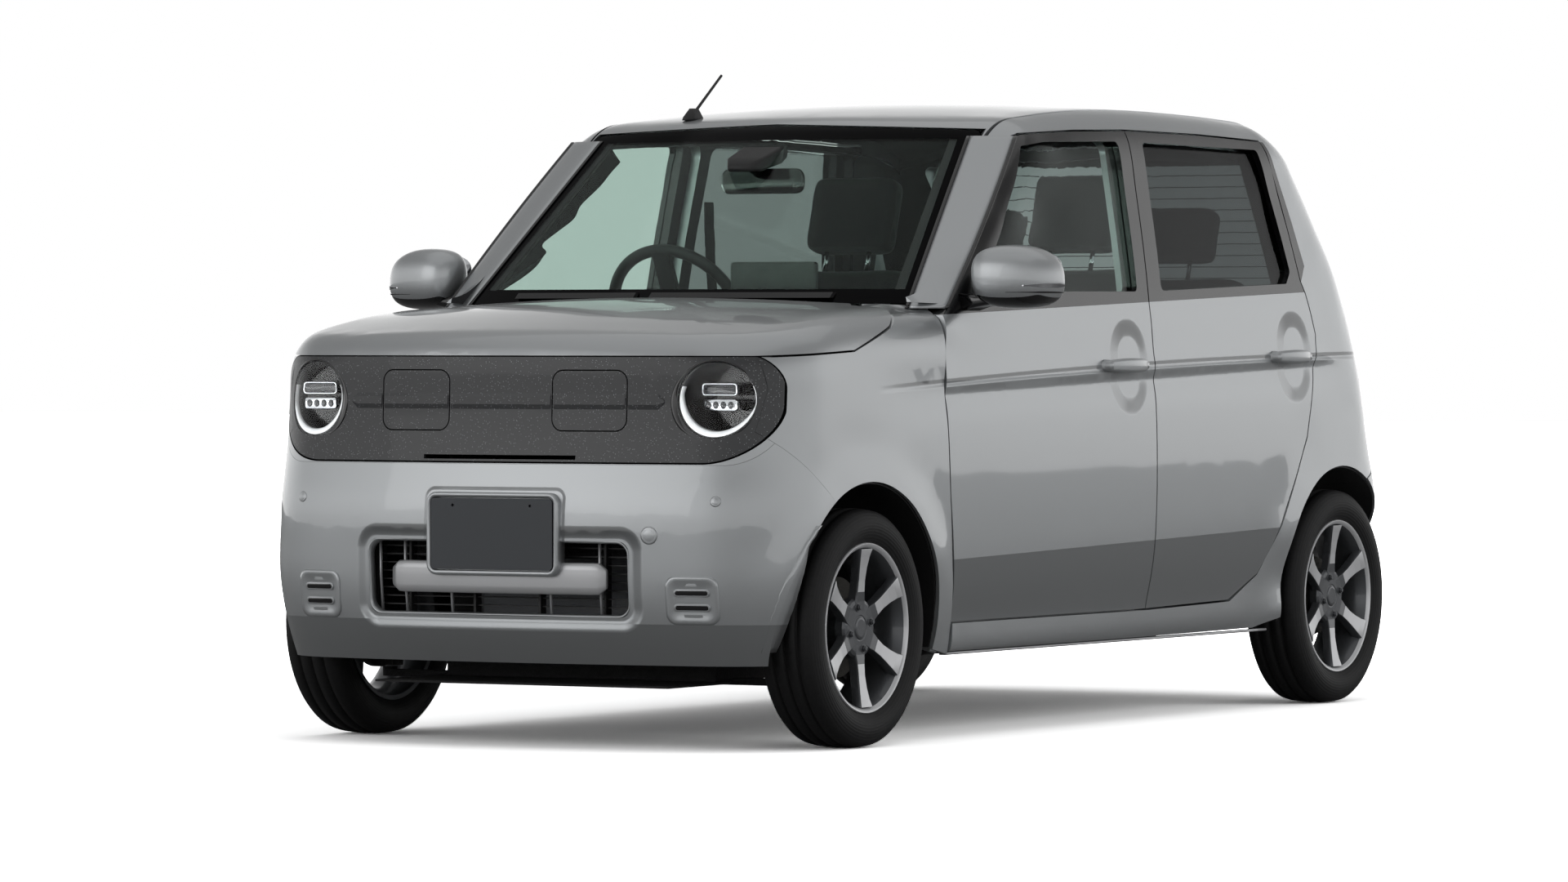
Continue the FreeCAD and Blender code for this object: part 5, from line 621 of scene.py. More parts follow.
# Wheel nuts: washer, nut and stud end, as radius, lowest and highest place and sides.
NUT_PARTS = ((0.0115, -0.001, 0.0006, 20), (0.0085, 0.0, 0.006, 6), (0.0055, 0.006, 0.0085, 12))
NUT_CIRCLE = 0.050
for corner, (centre, side) in WHEELS.items():
    work = bmesh.new()
    work.from_mesh(turned_mesh("barrel", RIM_PROFILE, (0, 0, 0), 1, 96))
    bright = set()
    for face in work.faces:
        middle = face.calc_center_median()
        if middle.x > 0.061 and math.hypot(middle.y, middle.z) > 0.186:
            bright.add(face.index)
    spoke_faces = []
    for spoke in range(6):
        angle = math.radians(60 * spoke + 30)
        out = Vector((0, math.cos(angle), math.sin(angle)))
        along = Vector((0, -math.sin(angle), math.cos(angle)))
        loops = [[work.verts.new(out * (r / 1000) + along * (u * w / 2000)
                                 + Vector((SPOKE_FACE + rise / 1000 + d, 0, 0))) for u, d in SPOKE_SECTION]
                 for r, w, rise in SPOKE_STATIONS]
        for k, (a, b) in enumerate(zip(loops, loops[1:])):
            for i in range(len(a)):
                j = (i + 1) % len(a)
                face = work.faces.new((a[i], a[j], b[j], b[i]))
                if i == 0 and SPOKE_STATIONS[k][0] >= BRIGHT_FROM:
                    spoke_faces.append(face)
        work.faces.new(loops[0][::-1])
        work.faces.new(loops[-1])
    work.faces.index_update()
    bright.update(face.index for face in spoke_faces)
    work.from_mesh(turned_mesh("hub", HUB_PROFILE, (0, 0, 0), 1, 48, closed=False))
    for i in range(4):
        angle = math.radians(90 * i + 15)
        nut = Vector((0.0485, NUT_CIRCLE * math.cos(angle), NUT_CIRCLE * math.sin(angle)))
        for radius, low_x, high_x, sides in NUT_PARTS:
            lower, upper = [[work.verts.new(nut + Vector((x, r * c, r * s))) for c, s in circle(sides)]
                            for x, r in ((low_x, radius), (high_x, radius * 0.94))]
            for j in range(sides):
                k = (j + 1) % sides
                work.faces.new((lower[j], lower[k], upper[k], upper[j]))
            work.faces.new(upper)
            work.faces.new(lower[::-1])
    mesh = taken(work, "rim_" + corner + "_cast")
    for face in mesh.polygons:
        face.material_index = int(face.index in bright)
        face.use_smooth = math.hypot(face.center.y, face.center.z) > 0.15 and abs(face.normal.x) < 0.97
    if side < 0:
        mesh.transform(Matrix.Rotation(math.pi, 4, "Z"))
    mesh.transform(Matrix.Translation(centre))
    rim = keep("rim_" + corner + "_dressed", mesh, "wheel_" + corner, "rim_alloy", rim_paint, machined)
    bevel = rim.modifiers.new("edges", "BEVEL")
    bevel.width = 0.0012
    bevel.segments = 2
    bevel.limit_method = "ANGLE"
    bevel.angle_limit = math.radians(40)
    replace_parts(rim, "rim_" + corner)

# Brakes behind the spokes: cast iron discs in front and drums behind, with a caliper on each knuckle.
DISC_PROFILE = [(-30, 0), (-30, 60), (-12, 62), (-12, 70), (-13, 116), (-14, 118), (-31, 118), (-32, 116), (-33, 60),
                (-33, 0)]
DRUM_PROFILE = [(10, 0), (10, 88), (7, 98), (-6, 100), (-8, 104), (-24, 104), (-26, 100), (-26, 0)]
for corner, (centre, side) in WHEELS.items():
    in_front = corner.startswith("front")
    mesh = turned_mesh("brake_" + corner, DISC_PROFILE if in_front else DRUM_PROFILE, centre, side, 64, closed=False)
    keep("brake_" + corner, shaded(mesh, False), "wheel_" + corner, "cast_iron", cast_metal)
    if in_front:
        loops = []
        for i in range(9):
            angle = math.radians(150 + 7 * i)
            edge = 0.8 if i in (0, 8) else 1.0
            loops.append([(centre.x + side * (-0.022 + u), centre.y + (0.104 + v) * math.cos(angle),
                           centre.z + (0.104 + v) * math.sin(angle)) for u, v in rounded_loop(0.052, 0.056 * edge, 0.008, 3)])
        lofted("caliper_" + corner, loops, "knuckle_" + corner.split("_")[1], "cast_iron", cast_alloy)


def skin_of(*names):
    """A ray finder over CAD nodes."""
    points = []
    faces = []
    for name in names:
        mesh = nodes[name].data
        start = len(points)
        points.extend(v.co.copy() for v in mesh.vertices)
        faces.extend(tuple(start + v for v in f.vertices) for f in mesh.polygons)
    return BVHTree.FromPolygons(points, faces)


def hit(skin, start, aim):
    """Where a ray first meets a skin, or None."""
    return skin.ray_cast(Vector(start), Vector(aim))[0]


nose = skin_of("front_bumper", "face_panel", "headlamp_covers", "grille_bar", "charge_lid_left", "charge_lid_right")
nose_seen = {}


def nose_y(x, z):
    """How far forward the front end reaches at a place, filled in over its openings."""
    key = (round(abs(x), 4), round(z, 4))
    if key not in nose_seen:
        found = hit(nose, (abs(x), -3, z), (0, 1, 0))
        if found is None or found.y > -1.2:
            above = hit(nose, (abs(x), -3, z + 0.1), (0, 1, 0))
            found = above if above is not None else Vector((x, -1.66, z))
        nose_seen[key] = found.y
    return nose_seen[key]


def fitted_face(centre, places, terms):
    """The nose as a smooth surface in terms of the distance from a middle, fitted to places on it."""
    rows = [terms(x - centre[0], z - centre[1]) for x, z in places]
    share = np.linalg.lstsq(np.array(rows), np.array([nose_y(x, z) for x, z in places]), rcond=None)[0]
    return lambda x, z: float(np.dot(share, terms(x - centre[0], z - centre[1])))


def skin_over(centre, size):
    """The bumper's skin carried smoothly over an opening, from the skin all round it."""
    places = [(centre[0] + u * s, centre[1] + v) for grow in (0.008, 0.018, 0.030)
              for u, v in rounded_loop(size[0] + 2 * grow, size[1] + 2 * grow, 0.02, 3)
              for s in ((1.0,) if abs(u) > size[0] / 2 else (0.2, 0.45, 0.7, 1.0))]
    return fitted_face(centre, places, lambda u, v: [1, u, u * u, u ** 3, u ** 4, v, v * v, u * v, u * u * v])


# Headlamps: a light guide ring, brightest below, round two lamp bars in a deep dark bezel.
LAMP_X = 0.545
LAMP_Z = 0.810
RING = 0.0850
lamp_face = fitted_face(
    (LAMP_X, LAMP_Z), [(x, z) for x in np.linspace(0.44, 0.622, 12) for z in np.linspace(0.735, 0.885, 10)],
    lambda x, z: [1, x, x * x, x ** 3, x ** 4, z, z * z, x * z, x * x * z])
lamp_middle = lamp_face(LAMP_X, LAMP_Z)
ring_white = grained("frosted_white_light_guide", "#E6E8EA", 0.22, 1.2, 0.05, coat=0.6, vary=0.03)
chrome = grained("vacuum_metallised_reflector", "#C9CBCE", 0.12, 2.0, 0.02, metallic=1.0, vary=0.04)
lens_grey = grained("smoked_lamp_lens", "#26282B", 0.15, 2.0, 0.02, coat=0.6, vary=0.1)
dress(gloss_black, "headlamps")


def ring_rows(angle):
    """The light guide's section, thickest below and outward."""
    thick = 0.0022 + 0.0105 * max(0.0, math.cos(angle - math.radians(262))) ** 0.7
    return ((RING, 0.010), (RING, 0.0045), (RING - 0.001, 0.0035), (RING - thick * 0.6, 0.0050),
            (RING - thick, 0.0085), (RING - thick - 0.002, 0.016), (RING, 0.016))


def bezel_rows(angle):
    """The bezel's section, widest towards the car's middle."""
    reach = 0.0925 + 0.013 * max(0.0, math.cos(angle - math.radians(200))) ** 2
    return ((reach, 0.0015), (reach, -0.0005), (reach - 0.003, -0.0012), (0.0885, 0.0), (0.0868, 0.004),
            (0.0868, 0.007), (0.0895, 0.007))


def round_lamp(side, rows_at):
    """Sections all round a lamp, each from rows of radius and depth."""
    loops = []
    for i in range(96):
        angle = 2 * math.pi * i / 96
        section = []
        for radius, back in rows_at(angle):
            x = LAMP_X + radius * math.cos(angle)
            z = LAMP_Z + radius * math.sin(angle)
            section.append((side * x, lamp_face(x, z) + back, z))
        loops.append(section)
    return loops


for side, hand in SIDES:
    ring_mesh = loft("headlamp_ring", round_lamp(side, ring_rows), around=True)
    for face in ring_mesh.polygons:
        face.material_index = 1 if face.center.z > LAMP_Z + 0.030 else 0
    keep("headlamp_ring_" + hand, ring_mesh, "root", "lamp_housing", ring_white, lens_grey)
    lofted("headlamp_bezel_" + hand, round_lamp(side, bezel_rows), "root", "black_plastic", gloss_black, around=True)
    for k, (rise, width, tall, made) in enumerate(((0.0245, 0.088, 0.024, lens_grey), (-0.0115, 0.088, 0.026, chrome))):
        rows = [(width * s, tall * s, 0.006 * s, d) for s, d in ((1.0, 0.026), (1.0, 0.002), (0.95, 0.0))]
        lofted("headlamp_bar_%s_%d" % (hand, k),
               face_loops(LAMP_X, LAMP_Z + rise, level_face(lamp_middle + 0.024), rows, side=side),
               "root", "lamp_housing", made)
    rows = [(w, h, 0.007, d) for w, h, d in ((0.092, 0.028, 0.004), (0.092, 0.028, 0.0), (0.087, 0.023, 0.0),
                                             (0.087, 0.023, 0.004))]
    lofted("headlamp_trim_" + hand,
           face_loops(LAMP_X, LAMP_Z + 0.0245, level_face(lamp_middle + 0.0225), rows, 4, side),
           "root", "lamp_housing", chrome, caps=False, around=True)
    for k in range(4):
        x = LAMP_X - 0.030 + 0.020 * k
        lofted("headlamp_cell_%s_%d" % (hand, k), [
            [(side * (x + 0.0075 * s * a), lamp_middle + 0.022 + d, LAMP_Z - 0.0115 + 0.0085 * s * b)
             for a, b in circle(20)] for s, d in ((1.0, 0.004), (1.0, 0.001), (0.8, -0.001), (0.4, -0.002))],
            "root", "lamp_housing", lens_grey)

# The ridge that runs across the face panel and both charge lids, between the lamps.
RIDGE_Z = 0.806
RIDGE_SECTION = ((-0.5, 0.001), (-0.5, -0.0002), (-0.2, -0.0022), (0.3, -0.0022), (0.5, -0.0002), (0.5, 0.001))
RIDGE_PARTS = ((-0.425, -0.336, "root"), (-0.328, -0.144, "charge_lid_right"), (-0.136, 0.136, "root"),
               (0.144, 0.328, "charge_lid_left"), (0.336, 0.425, "root"))
for k, (x0, x1, body) in enumerate(RIDGE_PARTS):
    loops = []
    for i in range(13):
        x = x0 + (x1 - x0) * i / 12
        tall = 0.036 * min(1.0, (0.430 - abs(x)) / 0.02)
        loops.append([(x, nose_y(x, RIDGE_Z + v * tall) + d, RIDGE_Z + v * tall) for v, d in RIDGE_SECTION])
    lofted("face_ridge_%d" % k, loops, body, "face_plastic", face_plastic, smooth=False)

# Lower grille: a painted lip round the opening, bright upright strips, and the silver bar in front.
grille_y = skin_over(GRILLE[:2], GRILLE[2:])
rows = [(GRILLE[2] + 2 * grow, GRILLE[3] + 2 * grow, 0.030 + max(grow, 0.0), back) for grow, back in (
    (0.0005, 0.0), (0.0005, -0.0015), (-0.002, -0.0018), (-0.005, 0.006), (-0.006, 0.018), (0.0, 0.018))]
lofted("grille_lip", face_loops(0, GRILLE[1], grille_y, rows, 8), "root", "body_paint", silver_paint,
       caps=False, around=True)
for k, x in enumerate((-0.265, -0.135, 0.135, 0.265, -0.338, 0.338)):
    lofted("grille_upright_%d" % k, [
        [(x + u, grille_y(x, z) + 0.030 + v, z) for u, v in rounded_loop(0.0055, 0.008, 0.002, 2)]
        for z in (0.312, 0.4, 0.483)], "root", "satin_silver", satin_silver)
loops = []
for i in range(33):
    x = -0.290 + 0.580 * i / 32
    end = min(1.0, math.sqrt(max(0.0, 1 - max(0.0, (abs(x) - 0.262) / 0.0285) ** 2)) + 0.02)
    y = grille_y(x, GRILLE[1]) - 0.004
    loops.append([(x, y + 0.020 - 0.5 * b * (0.4 + 0.6 * end), 0.398 + a * (0.5 + 0.5 * end))
                  for a, b in rounded_loop(0.074, 0.044, 0.018, 5)])
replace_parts(lofted("grille_bar_dressed", loops, "root", "satin_silver", satin_silver), "grille_bar")

# Front number plate's shallow frame, moulded with the bumper and painted.
low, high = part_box("front_plate")
rows = [(0.330 + 2 * grow, 0.165 + 2 * grow, 0.012 + grow, back) for grow, back in (
    (0.014, 0.030), (0.014, 0.0), (0.011, -0.0035), (0.004, -0.0035), (0.002, 0.0), (0.002, 0.030))]
lofted("front_plate_frame", face_loops(0, (low.z + high.z) / 2, level_face(low.y + 0.004), rows, 5),
       "root", "body_paint", silver_paint, caps=False, around=True)

# Corner vents of the bumper: a dished painted insert in a raised edge, with two dark slots.
VENT_ROWS = ((0.126, 0.112, 0.024, 0.0010), (0.126, 0.112, 0.024, -0.0022), (0.116, 0.102, 0.022, -0.0032),
             (0.104, 0.090, 0.019, -0.0030), (0.092, 0.078, 0.016, -0.0004), (0.020, 0.020, 0.009, -0.0004))
SLOT_PARTS = ((0.086, 0.0175, "body_paint", silver_paint, (0.002, -0.0022, -0.0024)),
              (0.078, 0.0105, "black_plastic", gloss_black, (0.002, -0.0026, -0.0027)))
vent_y = skin_over(VENT, (0.104, 0.070))
for side, hand in SIDES:
    lofted("corner_vent_" + hand, face_loops(*VENT, vent_y, VENT_ROWS, side=side), "root", "body_paint", silver_paint)
    for k, dz in enumerate((0.017, -0.017)):
        for part, (w, h, slot, made, backs) in enumerate(SLOT_PARTS):
            rows = [(w * s, h * s, h * 0.46 * s, back) for s, back in zip((1.0, 1.0, 0.94), backs)]
            lofted("corner_slot_%s_%d_%d" % (hand, k, part), face_loops(VENT[0], VENT[1] + dz, vent_y, rows, 5, side),
                   "root", slot, made)

# Bumper returns: the painted plastic behind the bumper's lower corner, up to the wheel arch.
bumper_side = skin_of("front_bumper")
for side, hand in SIDES:
    rings = []
    for i in range(25):
        z = 0.232 + 0.290 * i / 24
        edge = None
        for y in np.arange(-1.62, -1.38, 0.004):
            found = hit(bumper_side, (2, y, z), (-1, 0, 0))
            if found is not None and found.x > 0.5:
                edge = found
        start = edge.y - 0.012
        goal = max(-1.500 - 0.018 * (1 - i / 24) ** 2 + 0.022 * (i / 24) ** 2, start + 0.016)
        x0 = hit(bumper_side, (2, start, z), (-1, 0, 0)).x
        x1 = min(x0 + 0.40 * (goal - start), 0.7355)
        rings.append([(side * a, b, z) for a, b in (
            (x0 + 0.0006, start), ((x0 + x1) / 2 + 0.003, (start + goal) / 2), (x1, goal), (x1 - 0.006, goal + 0.003),
            (x1 - 0.020, goal - 0.001), ((x0 + x1) / 2 - 0.010, (start + goal) / 2), (x0 - 0.010, start))])
    lofted("bumper_return_" + hand, rings, "root", "body_paint", bumper_paint)

# Parking sensors and the round cover of the tow eye, set flush in the bumper.
for k, (x, z, radius) in enumerate(((0.563, 0.579, 0.0125), (-0.563, 0.579, 0.0125), (0.405, 0.500, 0.021))):
    for part, (outer_r, inner_r, rise) in enumerate(((radius, radius * 0.8, 0.0010),
                                                     (radius * 0.72, radius * 0.6, 0.0012))):
        lofted("bumper_disc_%d_%d" % (k, part), [
            [(x + r * a, nose_y(x + r * a, z + r * b) + d, z + r * b) for a, b in circle(28)]
            for r, d in ((outer_r, 0.003), (outer_r, -rise * 0.4), (inner_r, -rise), (0.001, -rise))],
            "root", "body_paint", silver_paint)

# Door handles: painted pull bars on two feet.
flank = skin_of("front_door_left", "rear_door_left")


def flank_x(y, z):
    """How far out the doors reach at a place."""
    found = hit(flank, (2, y, z), (-1, 0, 0))
    return found.x if found is not None else 0.735


for row, y0, y1, z0 in (("front", -0.045, 0.180, 0.884), ("rear", 0.905, 1.120, 0.903)):
    for side, hand in SIDES:
        door = "%s_door_%s" % (row, hand)
        loops = []
        for i in range(25):
            t = i / 24
            y = y0 + (y1 - y0) * t
            arch = math.sin(math.pi * min(1, max(0, (t - 0.02) / 0.96))) ** 0.35
            grip = 0.5 + 0.5 * math.sin(math.pi * t) ** 0.5
            x = flank_x(y, z0) + 0.034 * arch - 0.006
            loops.append([(side * (x + a * (0.35 + 0.65 * grip)), y, z0 + b * grip)
                          for a, b in rounded_loop(0.018, 0.036, 0.008, 4)])
        lofted("handle_%s_%s" % (row, hand), loops, door, "body_paint", silver_paint)
        for foot in (0.10, 0.90):
            y = y0 + (y1 - y0) * foot
            x = flank_x(y, z0)
            lofted("handle_foot_%s_%s_%d" % (row, hand, foot * 10), [
                [(side * (x + d), y + a * s, z0 + b * s) for a, b in rounded_loop(0.036, 0.026, 0.010, 4)]
                for s, d in ((1.15, -0.002), (1.1, 0.003), (0.85, 0.016), (0.6, 0.022))],
                door, "body_paint", silver_paint)


def block(cuts):
    """Edit data of a cube from -1 to 1, cut into a grid."""
    work = bmesh.new()
    bmesh.ops.create_cube(work, size=2.0)
    bmesh.ops.subdivide_edges(work, edges=work.edges, cuts=cuts, use_grid_fill=True)
    return work


def rounded(piece):
    """Smooth a piece's mesh once more."""
    smooth = piece.modifiers.new("round", "SUBSURF")
    smooth.levels = smooth.render_levels = 1
    return piece


# Door mirrors: a painted cap with a signal slit over a black lower shell, on a black foot at the window's corner.
MIRROR = (0.828, -0.662, 1.096)
MIRROR_POWER = 2.9
for side, hand in SIDES:
    body = "front_door_" + hand
    work = block(7)
    for v in work.verts:
        u = v.co.normalized()
        q = u * sum(abs(c) ** MIRROR_POWER for c in u) ** (-1 / MIRROR_POWER)
        top = 0.078 - 0.020 * max(0.0, q.x) ** 2 if q.z > 0 else 0.074
        back = 0.062 if q.y > 0 else 0.088
        v.co = Vector((side * (MIRROR[0] + 0.104 * q.x - 0.004 * q.z), MIRROR[1] + back * q.y + 0.016 * q.x,
                       MIRROR[2] + top * q.z))
    mesh = shaded(taken(work, "mirror_shell_" + hand))
    for face in mesh.polygons:
        if face.center.z < MIRROR[2] - 0.046 or face.center.y > MIRROR[1] + 0.050:
            face.material_index = 1
    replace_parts(rounded(keep("mirror_shell_" + hand, mesh, body, "body_paint", silver_paint, gloss_black)),
                "door_mirror_" + hand)
    shell_skin = BVHTree.FromPolygons([v.co.copy() for v in mesh.vertices], [tuple(f.vertices) for f in mesh.polygons])
    for part, (y0, y1, z, tall, proud, slot, made) in enumerate((
            (-0.738, -0.625, MIRROR[2] - 0.020, 0.010, 0.0016, "satin_silver", chrome),
            (-0.745, -0.615, MIRROR[2] - 0.036, 0.0035, 0.0012, "black_plastic", gloss_black))):
        loops = []
        for i in range(17):
            y = y0 + (y1 - y0) * i / 16
            grow = tall * min(1.0, 0.25 + 3.0 * min(i, 16 - i) / 16)
            loops.append([(hit(shell_skin, (side * 2, y, z + v * grow), (-side, 0, 0)).x + side * d, y, z + v * grow)
                          for v, d in ((-0.5, -0.002), (-0.5, proud), (0.5, proud), (0.5, -0.002))])
        lofted("mirror_slit_%s_%d" % (hand, part), loops, body, slot, made, smooth=False)
    lofted("mirror_foot_" + hand, [
        [(side * (0.700 + 0.115 * t), MIRROR[1] - 0.020 + a, 1.036 + 0.010 * t + b)
         for a, b in rounded_loop(w, h, 0.009, 4)]
        for t, w, h in ((0.0, 0.095, 0.046), (0.35, 0.085, 0.028), (0.7, 0.080, 0.022), (1.0, 0.072, 0.020))],
        body, "black_plastic", gloss_black)
    lofted("mirror_glass_" + hand, [
        [(side * (MIRROR[0] + 0.164 * a * s), MIRROR[1] + 0.0615 + d, MIRROR[2] + 0.004 + 0.112 * b * s)
         for a, b in rounded_loop(1.0, 1.0, 0.3, 6)] for s, d in ((1.0, -0.004), (1.0, 0.0010), (0.97, 0.0016))],
        body, "black_plastic", chrome)

# Antenna: a rubber rod on a moulded foot at the front of the roof.
low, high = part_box("antenna")
middle_x = (low.x + high.x) / 2
foot = Vector((middle_x, low.y + 0.030, low.z + 0.012))
tip = Vector((middle_x, high.y - 0.004, high.z - 0.002))
loops = [[(middle_x + a, foot.y + 0.004 + 0.006 * t + b, low.z + 0.001 + 0.030 * t) for a, b in rounded_loop(w, l, r, 5)]
         for t, w, l, r in ((0.0, 0.036, 0.070, 0.017), (0.25, 0.034, 0.066, 0.016), (0.6, 0.024, 0.050, 0.011),
                            (1.0, 0.014, 0.030, 0.006))]
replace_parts(lofted("antenna_foot", loops, "root", "black_plastic", black_plastic), "antenna")
across_rod = (tip - foot).normalized().cross(Vector((1, 0, 0))).normalized()
loops = []
for i in range(61):
    t = i / 60
    radius = (0.0042 if i % 2 else 0.0036) if 3 < i < 57 else (0.0050 if i <= 3 else 0.0040)
    radius *= 1.0 - 0.15 * t
    loops.append([foot + (tip - foot) * t + radius * (a * Vector((1, 0, 0)) + b * across_rod) for a, b in circle(10)])
lofted("antenna_rod", loops, "root", "black_plastic", black_plastic)

# Tail lamps: red polycarbonate lenses with fine ribs, let into the rear corners.
dress(grained("red_polycarbonate_lens", "#7E0E12", 0.12, 3.0, 0.10, coat=0.8, vary=0.18), "tail_lamps")

# Sill trim: a bright strip along the lower edge of each sill.
for side, hand in SIDES:
    loops = [[(side * (0.690 + a), -0.790 + 1.720 * i / 28, 0.2035 + b) for a, b in rounded_loop(0.020, 0.007, 0.003, 3)]
             for i in range(29)]
    lofted("sill_strip_" + hand, loops, "root", "satin_silver", satin_silver)

# Front pillars: a painted steel cover from the windscreen's edge to the door, with a black rubber seal on each side.
TRIM_REACH = 0.048
glass_skin = skin_of("windscreen")
door_skin = skin_of("front_door_left")
levels = np.linspace(1.045, 1.425, 39)


def glass_edge_x(z):
    """How far out the windscreen's edge stands at a height."""
    return 0.606 - 0.225 * (z - 1.07)


def on_glass(z, inset=0.0):
    """Where the windscreen lies, so far in from its edge."""
    found = hit(glass_skin, (glass_edge_x(z) - inset, -3, z), (0, 1, 0))
    return found and (found.y,)


def door_edge(z):
    """Where the door's front edge lies, and how far out it stands."""
    for y in np.arange(-0.85, -0.20, 0.002):
        found = hit(door_skin, (2, y, z), (-1, 0, 0))
        if found is not None and found.x > 0.5:
            behind = hit(door_skin, (2, y + 0.012, z), (-1, 0, 0))
            return y, behind.x if behind is not None else found.x
    return None


def up_pillar(measure, column=0):
    """A smooth curve up the pillar through measured places."""
    rows = [(z, found[column]) for z, found in zip(levels, map(measure, levels)) if found]
    curve = np.polyfit([z for z, _ in rows], [value for _, value in rows], 2)
    return lambda z: float(np.polyval(curve, z))


glass_y = up_pillar(on_glass)
inner_y = up_pillar(lambda z: on_glass(z, TRIM_REACH))
edge_y = up_pillar(door_edge)
edge_x = up_pillar(door_edge, 1)
for side, hand in SIDES:
    cover_rings = []
    trim_rings = []
    seals = {"glass": [], "door": []}
    for i in range(43):
        z = 1.022 + 0.421 * i / 42
        near = Vector((glass_edge_x(z), glass_y(z) - 0.003, z))
        far = Vector((edge_x(z) - 0.001, edge_y(z) - 0.005, z))
        across = far - near
        outward = Vector((across.y, -across.x, 0)).normalized()
        if outward.y > 0:
            outward = -outward
        ring = [near + across * s + outward * (0.004 + 0.022 * s * (1 - s)) * min(1, 6 * s, 6 - 6 * s + 0.3)
                for s in (k / 8 for k in range(9))]
        ring += [far - outward * 0.012, near - outward * 0.006]
        cover_rings.append([(side * q.x, q.y, q.z) for q in ring])
        edge = Vector((glass_edge_x(z) - TRIM_REACH, inner_y(z), z))
        trim_rings.append([(side * q.x, q.y, q.z) for q in (
            edge + Vector((0, 0.007, 0)), near + Vector((0, 0.010, 0)), far - outward * 0.016, far - outward * 0.050,
            near + Vector((-0.020, 0.045, 0)), edge + Vector((0, 0.022, 0)))])
        seals["glass"].append((near + outward * 0.001 - across.normalized() * 0.002, outward))
        seals["door"].append((far + outward * 0.001 + across.normalized() * 0.003, outward))
    lofted("pillar_cover_" + hand, cover_rings, "root", "body_paint", silver_paint)
    lofted("pillar_trim_" + hand, trim_rings, "root", "black_plastic", black_plastic, smooth=False)
    for name, body in (("glass", "root"), ("door", "front_door_" + hand)):
        rings = []
        for middle, outward in seals[name]:
            wide = outward.cross(Vector((0, 0, 1)))
            rings.append([(side * q.x, q.y, q.z) for q in (middle + wide * a + outward * b
                                                           for a, b in rounded_loop(0.009, 0.007, 0.003, 3))])
        lofted("%s_seal_%s" % (name, hand), rings, body, "rubber", gloss_black)

# Seats: foam pads in dark woven cloth with sewn channels, each made over its own steel frame.
cloth, tree, place = blank("dark_woven_seat_cloth")
weft, warp = [add(tree, "TexWave", {"Vector": place, "Scale": 260.0, "Distortion": 0.4},
                  bands_direction=axis).outputs["Fac"] for axis in "XZ"]
thread = chain(tree, "Math", weft, ("MULTIPLY", warp))
fibre = add(tree, "TexNoise", {"Vector": place, "Scale": 90.0, "Detail": 5.0}).outputs["Fac"]
shade = add(tree, "Mix", {0: fibre, 6: linear("#1B1C1E"), 7: linear("#2B2C2F")}, data_type="RGBA")
weave = add(tree, "Bump", {"Height": thread, "Strength": 0.5, "Distance": 0.0012})
surface = add(tree, "BsdfPrincipled", {"Base Color": shade.outputs[2], "Roughness": 0.9, "Normal": weave,
                                       "Sheen Weight": 0.25})
add(tree, "OutputMaterial", {"Surface": surface})
seat_shell = grained("moulded_seat_shell", "#18191A", 0.65, 1.2, 0.3, vary=0.15)


def pad(name, size, crown, channels, place):
    """A crowned foam pad: long face up, its sides pulled in between the corners, with sewn channels across."""
    work = block(15)
    for v in work.verts:
        c = v.co
        length = (abs(c.x) ** 7 + abs(c.y) ** 7 + abs(c.z) ** 4) ** (1 / 7)
        u = c / max(length, 1e-6) * max(abs(c.x), abs(c.y), abs(c.z))
        dome = (1 - u.x ** 4) * (1 - u.y ** 4)
        waist = 1 - 0.035 * (1 - u.x ** 2) * abs(u.y) ** 6
        sewn = sum(math.exp(-((u.x * size[0] / 2 - channel) / 0.007) ** 2) for channel in channels)
        z = u.z * size[2] / 2
        if u.z > 0:
            z = z * (0.72 + 0.28 * dome) + crown * dome - crown - 0.008 * sewn * (1 - abs(u.y) ** 8)
        v.co = Vector((u.x * size[0] / 2 * (1 - 0.03 * (1 - u.y ** 2)), u.y * size[1] / 2 * waist, z))
    mesh = shaded(taken(work, name))
    mesh.transform(place)
    piece = rounded(keep(name, mesh, "root", "seat_fabric", cloth))
    return piece


